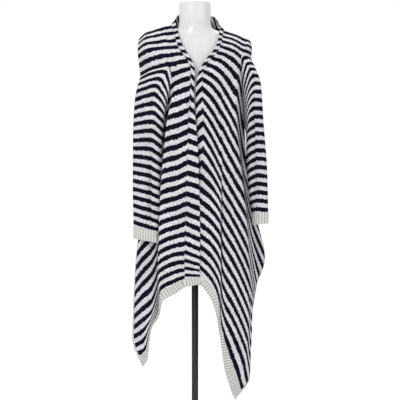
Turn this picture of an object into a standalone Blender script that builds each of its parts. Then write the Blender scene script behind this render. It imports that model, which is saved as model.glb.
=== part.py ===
"""Striped cardigan with a handkerchief hem, hanging open-sleeved on a limbless dress form.

Lengths in the tables are millimetres, in the world frame: +X to the viewer's right, the
garment's front towards -Y, +Z up, the origin under the middle of the stand's base.
"Course" counts the colour repeats of the knit downwards from the shoulder seam, so a row
of a panel's grid is one knitted row and a column is one line that runs down the panel.
"""

import math

import bpy
import numpy as np

MM = 0.001

# ---- driving dimensions -------------------------------------------------------------------
WALL = 2.4 * MM            # thickness of the knit
RIB_WALL = 2.6 * MM        # thickness of the ribbed borders, in their grooves
RIB_HEIGHT = 1.2 * MM      # how far a rib stands out of its groove
RIB_PITCH = 10.0 * MM      # from one rib to the next
SEAM_GAP = 0.3 * MM        # between neighbouring pieces
FOLDED_GAP = 0.5 * MM      # the same at seams that run through folds
COURSE = 30.0 * MM         # one navy and one white stripe, measured along the knit
LAST_COURSE = 28.5         # where the stripes end and the hem rib begins
HEM_COURSE = 29.7          # lower edge of the hem rib
RIGHT_UNDERARM = 12.0      # course at the lowest point of each armhole
LEFT_UNDERARM = 9.6
RIGHT_VENT = 17.0          # below it the side edges of front and back hang apart
LEFT_VENT = 14.0
FLAP_COURSE = 6.3          # the sleeve seam across the upper arm
SIDE_GAP = 1.0 * MM        # between front and back where they are sewn together
EDGING_PITCH = 20.0 * MM   # from one rib of the side edging to the next
SIDE_RIB = 9.0 * MM        # width of the narrow ribbed edging on the side edges
CUFF = 42.0 * MM           # height of the cuff rib

NAVY = (0.012, 0.013, 0.032, 1.0)
IVORY = (0.80, 0.80, 0.76, 1.0)
STRIPE_MEAN = (0.40, 0.40, 0.44, 1.0)
GLOSS_WHITE = (0.86, 0.85, 0.86, 1.0)
STAND_BLACK = (0.012, 0.012, 0.013, 1.0)


# ---- smooth curves through the rows of a table ----------------------------------------------
def smooth(knots, values, at):
    """Cubic Hermite curve through values at knots, without overshoot: the slope at a knot
    is the harmonic mean of its two chords, and zero where they turn back."""
    knots = np.asarray(knots, float)
    values = np.asarray(values, float)
    at = np.asarray(at, float)
    step = np.diff(knots).reshape((-1,) + (1,) * (values.ndim - 1))
    chord = np.diff(values, axis=0) / step
    slope = np.zeros_like(values)
    before, after = chord[:-1], chord[1:]
    same = before * after > 0
    total = np.where(same, before + after, 1.0)
    slope[1:-1] = np.where(same, 2 * before * after / total, 0.0)
    slope[0], slope[-1] = chord[0], chord[-1]
    cell = np.clip(np.searchsorted(knots, at, side="right") - 1, 0, len(knots) - 2)
    shape = at.shape + (1,) * (values.ndim - 1)
    width = (knots[cell + 1] - knots[cell]).reshape(shape)
    t = ((at - knots[cell])).reshape(shape) / width
    inside = np.clip(t, 0.0, 1.0)
    a, b = values[cell], values[cell + 1]
    sa, sb = slope[cell] * width, slope[cell + 1] * width
    cubic = (2 * inside**3 - 3 * inside**2 + 1) * a + (inside**3 - 2 * inside**2 + inside) * sa
    cubic += (3 * inside**2 - 2 * inside**3) * b + (inside**3 - inside**2) * sb
    return cubic + np.where(t > 1, (t - 1) * sb, 0.0) + np.where(t < 0, t * sa, 0.0)


# ---- the lines that run down each panel ------------------------------------------------------
# A row is a line of the cloth, named for the fold it makes, with its point (x, y, z) at each
# course of the panel.
RIGHT_FRONT_COURSES = (0.0, 4.0, 7.2, 12.0, 21.0, 26.0, HEM_COURSE)
RIGHT_FRONT = {
    # at:          shoulder seam    collarbone        neck point        underarm
    #              hip              thigh             hem
    "front edge": ((-85, 8, 1468), (-60, -64, 1381), (-15, -101, 1294), (-23, -124, 1112),
                   (-32, -132, 788), (-36, -132, 626), (-34, -130, 535)),
    "middle": ((-104, 6, 1464), (-84, -62, 1380), (-45, -103, 1288), (-58, -122, 1100),
               (-62, -130, 780), (-64, -130, 621), (-66, -128, 512)),
    "first ridge": ((-116, 5, 1461), (-99, -60, 1380), (-66, -103, 1279), (-99, -114, 1085),
                    (-123, -122, 758), (-127, -121, 586), (-113, -118, 482)),
    "first valley": ((-124, 5, 1458), (-108, -59, 1379), (-71, -102, 1277), (-103, -62, 1065),
                     (-121, -48, 715), (-129, -66, 513), (-126, -78, 429)),
    "second ridge": ((-131, 4, 1456), (-115, -58, 1379), (-75, -102, 1276), (-110, -36, 1048),
                     (-150, -62, 625), (-154, -84, 423), (-152, -92, 385)),
    "outer face": ((-138, 4, 1454), (-122, -57, 1378), (-78, -101, 1275), (-131, -14, 1034),
                   (-188, -48, 578), (-184, -64, 381), (-168, -74, 272)),
    "side edge": ((-145, 3, 1451), (-129, -56, 1378), (-82, -101, 1274), (-156, 0, 1020),
                  (-213, -12, 547), (-217, -30, 352), (-181, -54, 250)),
}
RIGHT_FLAP_COURSES = (0.0, 3.4, FLAP_COURSE)
RIGHT_FLAP = {
    "over the arm": ((-176, 1, 1440), (-170, -54, 1385), (-144, -88, 1297)),
    "shoulder tip": ((-201, -1, 1419), (-204, -4, 1372), (-194, -8, 1283)),
}

LEFT_FRONT_COURSES = (3.5, 7.0, 11.5, 14.0, 17.0, 22.0, 26.5, HEM_COURSE)
LEFT_FRONT = {
    # at:          shoulder seam    collarbone         neck point        bust
    #              underarm         hip                thigh             hem
    "front edge": ((104, 8, 1450), (89, -62, 1380), (27, -106, 1273), (28, -119, 1184),
                   (32, -126, 1054), (16, -133, 828), (16, -132, 648), (15, -130, 549)),
    "middle": ((126, 6, 1442), (112, -60, 1372), (60, -107, 1255), (56, -120, 1151),
               (56, -128, 1016), (56, -135, 800), (56, -133, 618), (56, -130, 493)),
    "crease brow": ((140, 5, 1437), (128, -58, 1365), (92, -103, 1217), (88, -115, 1097),
                    (88, -125, 950), (88, -135, 755), (86, -132, 565), (75, -128, 434)),
    "crease floor": ((147, 4, 1434), (137, -57, 1361), (100, -102, 1199), (95, -112, 1086),
                     (93, -120, 936), (92, -112, 722), (92, -115, 516), (84, -123, 378)),
    "crease rise": ((155, 4, 1431), (144, -56, 1356), (109, -100, 1187), (104, -110, 1072),
                    (100, -119, 918), (98, -127, 685), (100, -124, 466), (92, -122, 325)),
    "face": ((162, 3, 1428), (151, -54, 1351), (125, -96, 1161), (127, -103, 1031),
             (134, -109, 859), (144, -113, 603), (140, -112, 388), (105, -110, 239)),
    "front ridge": ((168, 3, 1425), (157, -52, 1346), (142, -88, 1130), (159, -86, 968),
                    (180, -84, 771), (192, -86, 486), (178, -92, 300), (122, -94, 184)),
    "side valley": ((174, 2, 1422), (160, -50, 1344), (150, -56, 1110), (164, -42, 938),
                    (186, -44, 717), (195, -60, 441), (186, -78, 268), (129, -82, 160)),
    "outer fold": ((180, 2, 1420), (162, -50, 1343), (168, 4, 990), (200, 10, 766),
                   (204, -8, 616), (202, -44, 421), (191, -62, 240), (134, -76, 148)),
    "side edge": ((185, 1, 1417), (164, -49, 1341), (192, 26, 900), (252, 26, 636),
                  (220, 8, 536), (200, -34, 406), (193, -52, 218), (138, -72, 140)),
}
LEFT_FLAP_COURSES = (3.5, 5.0, 6.6)
LEFT_FLAP = {
    "over the arm": ((192, 0, 1414), (190, -30, 1386), (184, -42, 1350)),
    "shoulder tip": ((199, -2, 1408), (203, -3, 1382), (200, -4, 1348)),
}

BACK_COURSES = (0.0, 4.0, 8.0, 14.0, 21.0, 26.0, HEM_COURSE)
BACK = {
    # at:            seam             blades           back              waist
    #                hip              thigh            hem
    "right neck": ((-85, 9, 1468), (-86, 86, 1366), (-92, 104, 1236), (-98, 104, 1028),
                   (-108, 108, 786), (-118, 106, 612), (-118, 104, 512)),
    "right fold": ((-52, 58, 1472), (-54, 94, 1356), (-60, 112, 1226), (-66, 124, 1032),
                   (-72, 138, 798), (-78, 144, 634), (-78, 146, 522)),
    "centre": ((0, 74, 1474), (0, 96, 1348), (0, 110, 1218), (0, 112, 1028),
               (0, 114, 802), (0, 116, 642), (2, 118, 524)),
    "left fold": ((60, 58, 1466), (60, 94, 1350), (66, 112, 1220), (72, 124, 1024),
                  (78, 138, 790), (82, 144, 626), (84, 146, 506)),
    "left neck": ((104, 9, 1450), (102, 84, 1352), (104, 102, 1222), (112, 102, 1010),
                  (124, 106, 762), (134, 106, 582), (136, 104, 452)),
}
# The back's side edge down to the underarm; from there it follows the front's.
RIGHT_ARMHOLE_COURSES = (0.0, 4.0, 7.2, RIGHT_UNDERARM)
LEFT_ARMHOLE_COURSES = (0.0, 3.6, FLAP_COURSE, LEFT_UNDERARM)
RIGHT_BACK_ARMHOLE = ((-145, 4, 1451), (-142, 50, 1376), (-132, 62, 1276), (-156, 1, 1020))
LEFT_BACK_ARMHOLE = ((185, 2, 1417), (166, 46, 1350), (160, 56, 1270), (180, 5, 1090))
LEFT_BACK_FLAP_COURSES = (0.0, 3.05, FLAP_COURSE)
RIGHT_BACK_FLAP = {
    "over the arm": ((-176, 2, 1440), (-176, 40, 1388), (-170, 46, 1290)),
    "shoulder tip": ((-201, 0, 1419), (-204, -3, 1372), (-194, -7, 1283)),
}
LEFT_BACK_FLAP = {
    "over the arm": ((192, 1, 1414), (193, 28, 1380), (190, 34, 1336)),
    "shoulder tip": ((199, -1, 1408), (203, -2, 1382), (200, -3, 1348)),
}

# The front bands, as steps (x, y, z) from the panel's front edge to the band's inner edge.
RIGHT_BAND_COURSES = (0.0, 4.0, 7.2, 9.0, 13.0, 17.0, 20.0, 24.0, 28.9)
RIGHT_BAND = ((12, 5, 17), (14, -5, 11), (15, -6, -1), (15, -5, -2), (31, -6, -3),
              (43, -6, -7), (48, -6, -14), (53, -6, -20), (52, -6, 6))
LEFT_BAND_COURSES = (3.5, 7.0, 9.0, 10.5, 11.5, 13.0, 17.0, 18.5, 19.6, 20.6, 22.5, 28.9)
LEFT_BAND = ((-12, 5, 17), (-12, -5, 9), (-11, -5, 9), (-13, -3, 3), (-20, 1, -9),
             (-24, 5, -16), (-26, 8, -14), (-16, 9, -8), (-10, 10, -4), (-8, 10, -2),
             (-16, 10, 0), (-20, 10, 0))
# The neck band stands up behind the neck: the step from the back's top edge to its own.
NECK_BAND = {
    "right shoulder": (12, 5, 17),
    "right of nape": (-2, -6, 42),
    "nape": (0, -8, 46),
    "left of nape": (2, -6, 42),
    "left shoulder": (-12, 5, 17),
}
BAND_SHARES = (0, 0.34, 0.67, 1)   # the grid's lines across a band

# A sleeve's rings below the armhole: centre x, y, half width and half depth, turn in plan
# (degrees), and height at the outer and at the inner side of the arm.
RIGHT_SLEEVE = {
    "upper arm": (-165, -66, 46, 34, 14, 1200, 985),
    "elbow": (-171, -74, 48, 26, 19, 1060, 895),
    "forearm": (-172, -79, 48, 21, 20, 900, 815),
    "wrist": (-173, -82, 44, 18, 20, 744, 728),
}
LEFT_SLEEVE = {
    "upper arm": (209, -32, 23, 36, -8, 1250, 1060),
    "elbow": (214, -42, 27, 37, -8, 1110, 960),
    "forearm": (223, -46, 30, 36, -8, 950, 870),
    "wrist": (232, -44, 25, 34, -8, 798, 792),
}
SLEEVE_CORNER = 0.82           # below 1 the rings are fuller than an ellipse
RIGHT_UNDERARM_TURN = 0.68     # where the underarm lies on the rings: past 0.5, towards the
LEFT_UNDERARM_TURN = 0.56      # back, as the sleeves hang in front of the body
RIGHT_BACK_OPENING = 50 * MM   # how far back the back's corner hangs from the front's
RIGHT_BACK_LIFT = 25 * MM      # and how much higher
LEFT_BACK_OPENING = 60 * MM
LEFT_BACK_LIFT = 30 * MM

# The form's rings: height, half width, half depth in the middle and towards the sides, and
# how far the middle lies back.
FORM_RINGS = {
    "neck top": (1547, 56, 56, 56, 4),
    "neck": (1490, 57, 55, 55, 6),
    "neck root": (1460, 62, 52, 44, 8),
    "slope": (1444, 92, 52, 28, 8),
    "shoulder": (1426, 134, 54, 30, 8),
    "shoulder cap": (1402, 162, 60, 40, 6),
    "upper chest": (1380, 172, 67, 52, 4),
    "arm stump": (1350, 178, 75, 66, 2),
    "armpit": (1290, 158, 91, 86, 2),
    "chest": (1230, 130, 100, 96, 2),
    "bust": (1180, 118, 105, 102, 0),
    "ribs": (1110, 106, 98, 96, 2),
    "waist": (1030, 96, 86, 84, 6),
    "belly": (940, 98, 90, 88, 8),
    "hips": (840, 104, 96, 94, 10),
    "seat": (770, 102, 94, 92, 10),
    "rounding": (735, 90, 82, 80, 10),
    "underside": (724, 66, 58, 56, 10),
}
FORM_SIDES = 32
POLE_RADIUS = 12.0 * MM
POLE_SIDES = 20
BASE_RADIUS = 150.0 * MM
BASE_THICKNESS = 12.0 * MM
BASE_BEVEL = 3.0 * MM
BASE_SIDES = 40
SOCKET_RADIUS = 22.0 * MM
SOCKET_HEIGHT = 40.0 * MM

# The grids: lines from each table line to the next, and the courses of their rows. The left
# front starts lower down the shoulder seam, so its rows over the arm are its own.
COLUMNS_PER_LINE = 2
FLAP_ROWS = [0.0, 1.6, 3.2, 4.8, FLAP_COURSE]
ARM_ROWS = [7.4, 8.5]
LEFT_FLAP_ROWS = [3.5, 4.3, 5.1, 5.9, 6.6]
LEFT_ARM_ROWS = [7.2, 7.8, 8.4, 9.0]
BODY_ROWS = [LEFT_UNDERARM, 10.4, 11.2, RIGHT_UNDERARM, 13.0, LEFT_VENT, 15.5, RIGHT_VENT,
             18.9, 20.8, 22.7, 24.6, 26.5, LAST_COURSE, HEM_COURSE]
SLEEVE_ROWS = 10


def line(courses, points):
    """A line of the cloth as a function of the course, in metres."""
    table = np.array(points, float) * MM
    return lambda course: smooth(courses, table, course)


def lines(courses, table):
    return [line(courses, points) for points in table.values()]


def cloth(down_lines, across, courses):
    """The knit between the lines: across counts lines, courses count colour repeats."""
    at_courses = np.stack([one(courses) for one in down_lines])
    return smooth(np.arange(len(down_lines)), at_courses, across)


# ---- sheets of cloth ---------------------------------------------------------------------------
def grid_faces(across, down, keep=None, ring=False):
    """Quads of a grid, as rows of four point numbers; keep picks the cells that are cloth,
    and a ring is closed from its last line across to its first."""
    numbers = np.arange(across * down).reshape(across, down)
    if ring:
        numbers = np.concatenate([numbers, numbers[:1]])
    corners = (numbers[:-1, :-1], numbers[1:, :-1], numbers[1:, 1:], numbers[:-1, 1:])
    faces = np.stack([c.ravel() for c in corners], axis=1)
    return faces if keep is None else faces[keep.ravel()]


def point_normals(points, faces):
    """Unit normals at the points: the sum of the crossed diagonals of the quads there."""
    flat = points.reshape(-1, 3)
    diagonal = flat[faces[:, 2]] - flat[faces[:, 0]]
    normal = np.cross(diagonal, flat[faces[:, 3]] - flat[faces[:, 1]])
    total = np.zeros_like(flat)
    for corner in range(4):
        np.add.at(total, faces[:, corner], normal)
    return unit(total).reshape(points.shape)


def unit(vectors):
    return vectors / np.maximum(np.linalg.norm(vectors, axis=-1, keepdims=True), 1e-12)


class Sheet:
    """A grid of points on the inner face of a cloth, (lines across, rows down, xyz), with
    the outward normal at each; outward is -1 where the grid runs the other way round."""

    def __init__(self, points, outward=1, keep=None, ring=False):
        self.points = points
        self.faces = grid_faces(*points.shape[:2], keep, ring)
        self.normals = point_normals(points, self.faces) * outward


def spread(count):
    """Places of the grid's lines over count lines of a table."""
    return np.linspace(0, count - 1, (count - 1) * COLUMNS_PER_LINE + 1)


def panel_sheet(every_line, left_out, right_out, flap_rows, body_rows, outward):
    """A body panel. All its lines run down to the last flap row; the left_out first and the
    right_out last lines, which lie over the arms, stop there."""
    flap, body = np.array(flap_rows), np.array(body_rows)
    inside = every_line[left_out: len(every_line) - right_out]
    start = left_out * COLUMNS_PER_LINE
    end = start + (len(inside) - 1) * COLUMNS_PER_LINE
    top = cloth(every_line, spread(len(every_line)), flap)
    points = np.zeros((len(top), len(flap) + len(body), 3))
    points[:, : len(flap)] = top
    points[start: end + 1, len(flap) - 1:-1] = cloth(inside, spread(len(inside)), body_edges(flap, body))
    points[start: end + 1, -1] = cloth(inside, spread(len(inside)), body[-1:])[:, 0]
    keep = np.ones((len(top) - 1, len(flap) + len(body) - 1), bool)
    keep[:start, len(flap) - 1:] = False
    keep[end:, len(flap) - 1:] = False
    return Sheet(points, outward, keep), start, end


def body_edges(flap, body):
    return np.concatenate([flap[-1:], body[:-1]])


def refined(points, normals, pitch):
    """The grid with new lines across, so that ribs fit between each two old ones: straight
    between them, with the rib's crest at every second line. Also the crests, as 0 and 1."""
    new_points, new_normals = [points[:1]], [normals[:1]]
    for k in range(len(points) - 1):
        length = np.linalg.norm(points[k + 1] - points[k], axis=-1).mean()
        parts = 2 * max(1, round(length / pitch))
        share = (np.arange(1, parts + 1) / parts)[:, None, None]
        new_points.append(points[k] + (points[k + 1] - points[k]) * share)
        new_normals.append(normals[k] + (normals[k + 1] - normals[k]) * share)
    points, normals = np.concatenate(new_points), np.concatenate(new_normals)
    return points, normals, np.arange(len(points)) % 2


def off_seam(seam, beyond, normals, ring=False):
    """The seam's points moved by the gap towards the points beyond it, square to the seam
    and to the normals there."""
    if ring:
        ahead, behind = np.roll(seam, -1, axis=0), np.roll(seam, 1, axis=0)
    else:
        ahead, behind = np.concatenate([seam[1:], seam[-1:]]), np.concatenate([seam[:1], seam[:-1]])
    across = unit(np.cross(ahead - behind, normals))
    if ((beyond - seam) * across).sum() < 0:
        across = -across
    return seam + across * FOLDED_GAP


# ---- solids ------------------------------------------------------------------------------------
def add_object(name, points, faces, material):
    mesh = bpy.data.meshes.new(name)
    mesh.from_pydata(points.tolist(), [], faces)
    mesh.validate()
    mesh.shade_smooth()
    mesh.materials.append(material)
    body = bpy.data.objects.new(name, mesh)
    bpy.context.scene.collection.objects.link(body)
    return body


def add_wall(name, points, normals, depth, material, faces=None, ring=False):
    """A sheet made a closed wall: its points are the inner face, and the outer face is the
    depth away along the normals."""
    faces = grid_faces(*points.shape[:2], ring=ring) if faces is None else faces
    depth = np.reshape(depth, (len(points), -1)) if np.ndim(depth) else depth
    depth = np.broadcast_to(depth, points.shape[:2]).reshape(-1)
    used, renumbered = np.unique(faces, return_inverse=True)
    faces = renumbered.reshape(faces.shape)
    inner = points.reshape(-1, 3)[used]
    outward = normals.reshape(-1, 3)[used]
    if (point_normals(inner, faces) * outward).sum() < 0:
        faces = faces[:, ::-1]
    outer = inner + outward * depth[used, None]
    count = len(inner)
    edges = np.concatenate([faces[:, [k, (k + 1) % 4]] for k in range(4)]).tolist()
    inside = {(b, a) for a, b in edges}
    rim = [(b, a, a + count, b + count) for a, b in edges if (a, b) not in inside]
    solid = faces.tolist() + (faces[:, ::-1] + count).tolist() + rim
    return add_object(name, np.concatenate([outer, inner]), solid, material)


def add_panel(name, sheet, material):
    """The panel proper is the sheet without its last row, which belongs to the hem."""
    across, down = sheet.points.shape[:2]
    cells = sheet.faces % down
    return add_wall(name, sheet.points, sheet.normals, WALL, material,
                    sheet.faces[cells.max(axis=1) < down - 1])


def add_hem(name, sheet, start, end, material, before=None):
    """The hem rib carries the panel's last row on, with ribs raised along the knit."""
    points, normals = sheet.points[start: end + 1, -2:], sheet.normals[start: end + 1, -2:]
    if before is not None:
        points = np.concatenate([before.points[:0:-1, -2:], points])
        normals = np.concatenate([before.normals[:0:-1, -2:], normals])
    points, normals, crest = refined(points, normals, RIB_PITCH)
    points[:, 0] = off_seam(points[:, 0], points[:, 1], normals[:, 0])
    depth = np.stack([np.full(len(points), WALL), RIB_WALL + RIB_HEIGHT * crest], axis=1)
    return add_wall(name, points, normals, depth, material)


def add_edging(name, sheet, edge, inward, first_row, material):
    """A narrow ribbed edging along a side edge, from the top of the vent to the hem. It
    starts narrow, where front and back are still close together."""
    rim, normals = sheet.points[edge, first_row:], sheet.normals[edge, first_row:]
    away = unit(rim - sheet.points[edge + inward, first_row:])
    width = np.clip(np.arange(len(rim)) / 3, 0.02, 1)[:, None] * SIDE_RIB
    seam = off_seam(rim, rim + away, normals)
    points = np.stack([seam, seam + away * width], axis=1)
    normals = np.stack([normals, normals], axis=1)
    points, normals, crest = refined(points, normals, EDGING_PITCH)
    depth = RIB_WALL - RIB_HEIGHT / 2 + RIB_HEIGHT * crest
    return add_wall(name, points, normals, depth, material)


def band_sheet(panel, edge, row_courses, band_courses, steps, outward):
    """A band from the panel's front edge, by the steps of its table, to its own inner edge."""
    seam = panel.points[edge]
    step = smooth(band_courses, np.array(steps, float) * MM, row_courses)
    shares = np.array(BAND_SHARES)[:, None, None]
    sheet = Sheet(seam + step * shares, outward)
    sheet.normals[0] = panel.normals[edge]
    return sheet


def add_band(name, sheet, material):
    """The band proper stops above the hem and leaves a gap at the panel's edge."""
    points = sheet.points[:, :-1].copy()
    points[0] = off_seam(points[0], points[1], sheet.normals[0, :-1])
    return add_wall(name, points, sheet.normals[:, :-1], WALL, material)


def add_neck_band(back, first, last, material):
    """The neck band stands on the back's top edge between its two neck lines."""
    seam = back.points[first: last + 1, 0]
    places = np.linspace(0, len(NECK_BAND) - 1, last - first + 1)
    step = smooth(np.arange(len(NECK_BAND)), np.array(list(NECK_BAND.values()), float) * MM, places)
    shares = np.array(BAND_SHARES)[None, :, None]
    sheet = Sheet(seam[:, None] + step[:, None] * shares, -1)
    sheet.normals[:, 0] = unit(sheet.normals[:, 0] + back.normals[first: last + 1, 0])
    sheet.points[:, 0] = off_seam(seam, sheet.points[:, 1], sheet.normals[:, 0])
    back.normals[first: last + 1, 0] = sheet.normals[:, 0]
    return add_wall("band_neck", sheet.points, sheet.normals, WALL, material)


# ---- sleeves and cuffs -------------------------------------------------------------------------
def ring_point(ring, turn):
    """Points of a sleeve ring at the turns (0 outer, 0.25 front, 0.5 inner, 0.75 back)."""
    x, y, half_width, half_depth, plan, outer_z, inner_z = ring
    side = 1 if x > 0 else -1
    angle = turn * 2 * np.pi
    along, front = np.cos(angle), np.sin(angle)
    fuller_along = np.sign(along) * np.abs(along) ** SLEEVE_CORNER * half_width
    fuller_front = np.sign(front) * np.abs(front) ** SLEEVE_CORNER * half_depth
    swing = math.radians(plan)
    out = fuller_along * math.cos(swing) - fuller_front * math.sin(swing)
    back = fuller_along * math.sin(swing) - fuller_front * math.cos(swing)
    height = (outer_z + inner_z) / 2 + (outer_z - inner_z) / 2 * along
    return np.stack([x + side * out, y + back, height], axis=-1) * MM


def armhole(front, front_flap, front_side, back, back_side, back_flap):
    """The loop that a sleeve is sewn to: the front flap's lower edge inwards, the front's
    side edge down to the underarm, the back's side edge up, the back flap outwards. Each
    run lists (line, row) in its sheet. The loop is a list of the (sheet, place) that meet at
    each point, two of them at the shoulder tip and at the underarm; then the underarm's place."""
    loop = [[(front, at)] for at in front_flap + front_side[1:]]
    loop[0].append((back, back_flap[-1]))
    loop[-1].append((back, back_side[0]))
    underarm = len(loop) - 1
    return loop + [[(back, at)] for at in back_side[1:] + back_flap[1:-1]], underarm


def sleeve_sheet(members, underarm, rings, underarm_turn):
    """Rings from the armhole loop down to the wrist; the loop's points share out the turn.
    At the seam the sleeve and what it is sewn to lean the same way; at the underarm it is
    the front's side edge that leans down and forwards with the sleeve."""
    loop = np.array([np.mean([sheet.points[at] for sheet, at in meet], axis=0) for meet in members])
    steps = np.linalg.norm(np.roll(loop, -1, axis=0) - loop, axis=1)
    along = np.concatenate([[0], np.cumsum(steps)])
    turn = np.interp(along[:-1], (0, along[underarm], along[-1]), (0, underarm_turn, 1))
    stations = np.stack([loop] + [ring_point(ring, turn) for ring in rings.values()])
    share = np.linspace(0, 1, SLEEVE_ROWS + 1)
    points = np.swapaxes(smooth(np.linspace(0, 1, len(stations)), stations, share), 0, 1)
    sheet = Sheet(points, 1, ring=True)
    if (sheet.normals * (points - points.mean(axis=0, keepdims=True))).sum() < 0:
        sheet.normals = -sheet.normals
    down = np.array([0, 0, -1.0])
    meets = [meet[:1] if k == underarm else meet for k, meet in enumerate(members)]
    sewn = np.array([unit(sum(other.normals[at] for other, at in meet)) for meet in meets])
    shared = sheet.normals[:, 0] + sewn
    shared[underarm] += down
    shared = unit(shared)
    evened = unit(np.roll(shared, 1, axis=0) + 2 * shared + np.roll(shared, -1, axis=0))
    evened[underarm] = shared[underarm]
    sheet.normals[:, 0] = evened
    sheet.points[underarm, 0] += (sewn[underarm] + evened[underarm]) * WALL / 2
    for meet, normal in zip(meets, evened):
        for other, at in meet:
            other.normals[at] = normal
    sheet.normals[:, -1] = unit(sheet.normals[:, -1] * np.array([1, 1, 0]))
    return sheet


def add_sleeve(name, sheet, material):
    points = sheet.points.copy()
    points[:, 0] = off_seam(points[:, 0], points[:, 1], sheet.normals[:, 0], ring=True)
    return add_wall(name, points, sheet.normals, WALL, material, ring=True)


def add_cuff(name, sheet, material):
    """The cuff hangs straight on from the wrist ring, with ribs raised along it."""
    wrist = sheet.points[:, -1]
    drop = np.array([[0, 0, -SEAM_GAP], [0, 0, -CUFF]])
    points = wrist[:, None] + drop
    normals = np.stack([sheet.normals[:, -1]] * 2, axis=1)
    closed = np.concatenate([points, points[:1]]), np.concatenate([normals, normals[:1]])
    points, normals, crest = refined(*closed, RIB_PITCH)
    return add_wall(name, points[:-1], normals[:-1], RIB_WALL + RIB_HEIGHT * crest[:-1], material,
                    ring=True)


def back_side(front_side, front_underarm, armhole_courses, armhole_points, vent, backward, lift):
    """The back's side edge: its own armhole down to the underarm, then the front's side
    edge, from which it hangs away backwards below the top of the vent."""
    own = np.array(armhole_points, float) * MM
    own[-1] = front_side(np.array([front_underarm]))[0] + np.array([0, SIDE_GAP, 0])
    knots = np.array(armhole_courses, float)

    def at(course):
        course = np.asarray(course, float)
        apart = np.clip((course - vent) / (HEM_COURSE - vent), 0, 1)[:, None]
        below = front_side(course) + np.array([0, SIDE_GAP, 0])
        below = below + apart * np.array([0, backward, lift])
        return np.where((course > front_underarm)[:, None], below, smooth(knots, own, course))

    return at


# ---- the form and its stand ---------------------------------------------------------------------
def add_tube(name, rings, material):
    """Closed rings of points, joined and capped at both ends; rings run downwards."""
    count, sides = rings.shape[:2]
    faces = []
    for ring in range(count - 1):
        for side in range(sides):
            after = (side + 1) % sides
            a, b = ring * sides + side, ring * sides + after
            faces.append((a, a + sides, b + sides, b))
    faces.append(tuple(range(sides)))
    faces.append(tuple(reversed(range((count - 1) * sides, count * sides))))
    return add_object(name, rings.reshape(-1, 3), faces, material)


def add_form(material):
    """Rings as deep at the sides as the table's last column but one says, and swelling
    towards the middle, where the neck and the chest stand out."""
    angle = np.arange(FORM_SIDES) * 2 * np.pi / FORM_SIDES
    height, half_width, middle, side, back = np.array(list(FORM_RINGS.values()), float).T[..., None]
    sine = np.sin(angle)
    depth = side + (middle - side) * sine**4
    points = np.stack([half_width * np.cos(angle), back + depth * sine, height + 0 * sine], axis=-1)
    return add_tube("form_torso", points * MM, material)


def add_turned(name, profile, sides, material):
    """A turned solid; the profile gives (radius, height) from its top down."""
    angle = np.arange(sides) * 2 * np.pi / sides
    rings = np.array([[(r * math.cos(a), r * math.sin(a), z) for a in angle] for r, z in profile])
    return add_tube(name, rings, material)


def add_stand(material):
    underside = FORM_RINGS["underside"][0] * MM
    top = BASE_THICKNESS + SOCKET_HEIGHT
    add_turned("form_pole", [(POLE_RADIUS, underside - SEAM_GAP), (POLE_RADIUS, top + SEAM_GAP)],
               POLE_SIDES, material)
    add_turned("form_base", [
        (SOCKET_RADIUS - BASE_BEVEL, top), (SOCKET_RADIUS, top - BASE_BEVEL),
        (SOCKET_RADIUS, BASE_THICKNESS), (BASE_RADIUS - BASE_BEVEL, BASE_THICKNESS),
        (BASE_RADIUS, BASE_THICKNESS - BASE_BEVEL), (BASE_RADIUS, 0.0),
    ], BASE_SIDES, material)


def finish_colour(name, colour, roughness):
    material = bpy.data.materials.new(name)
    material.use_nodes = True
    shader = material.node_tree.nodes["Principled BSDF"]
    shader.inputs["Base Color"].default_value = colour
    shader.inputs["Roughness"].default_value = roughness
    return material


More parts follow.
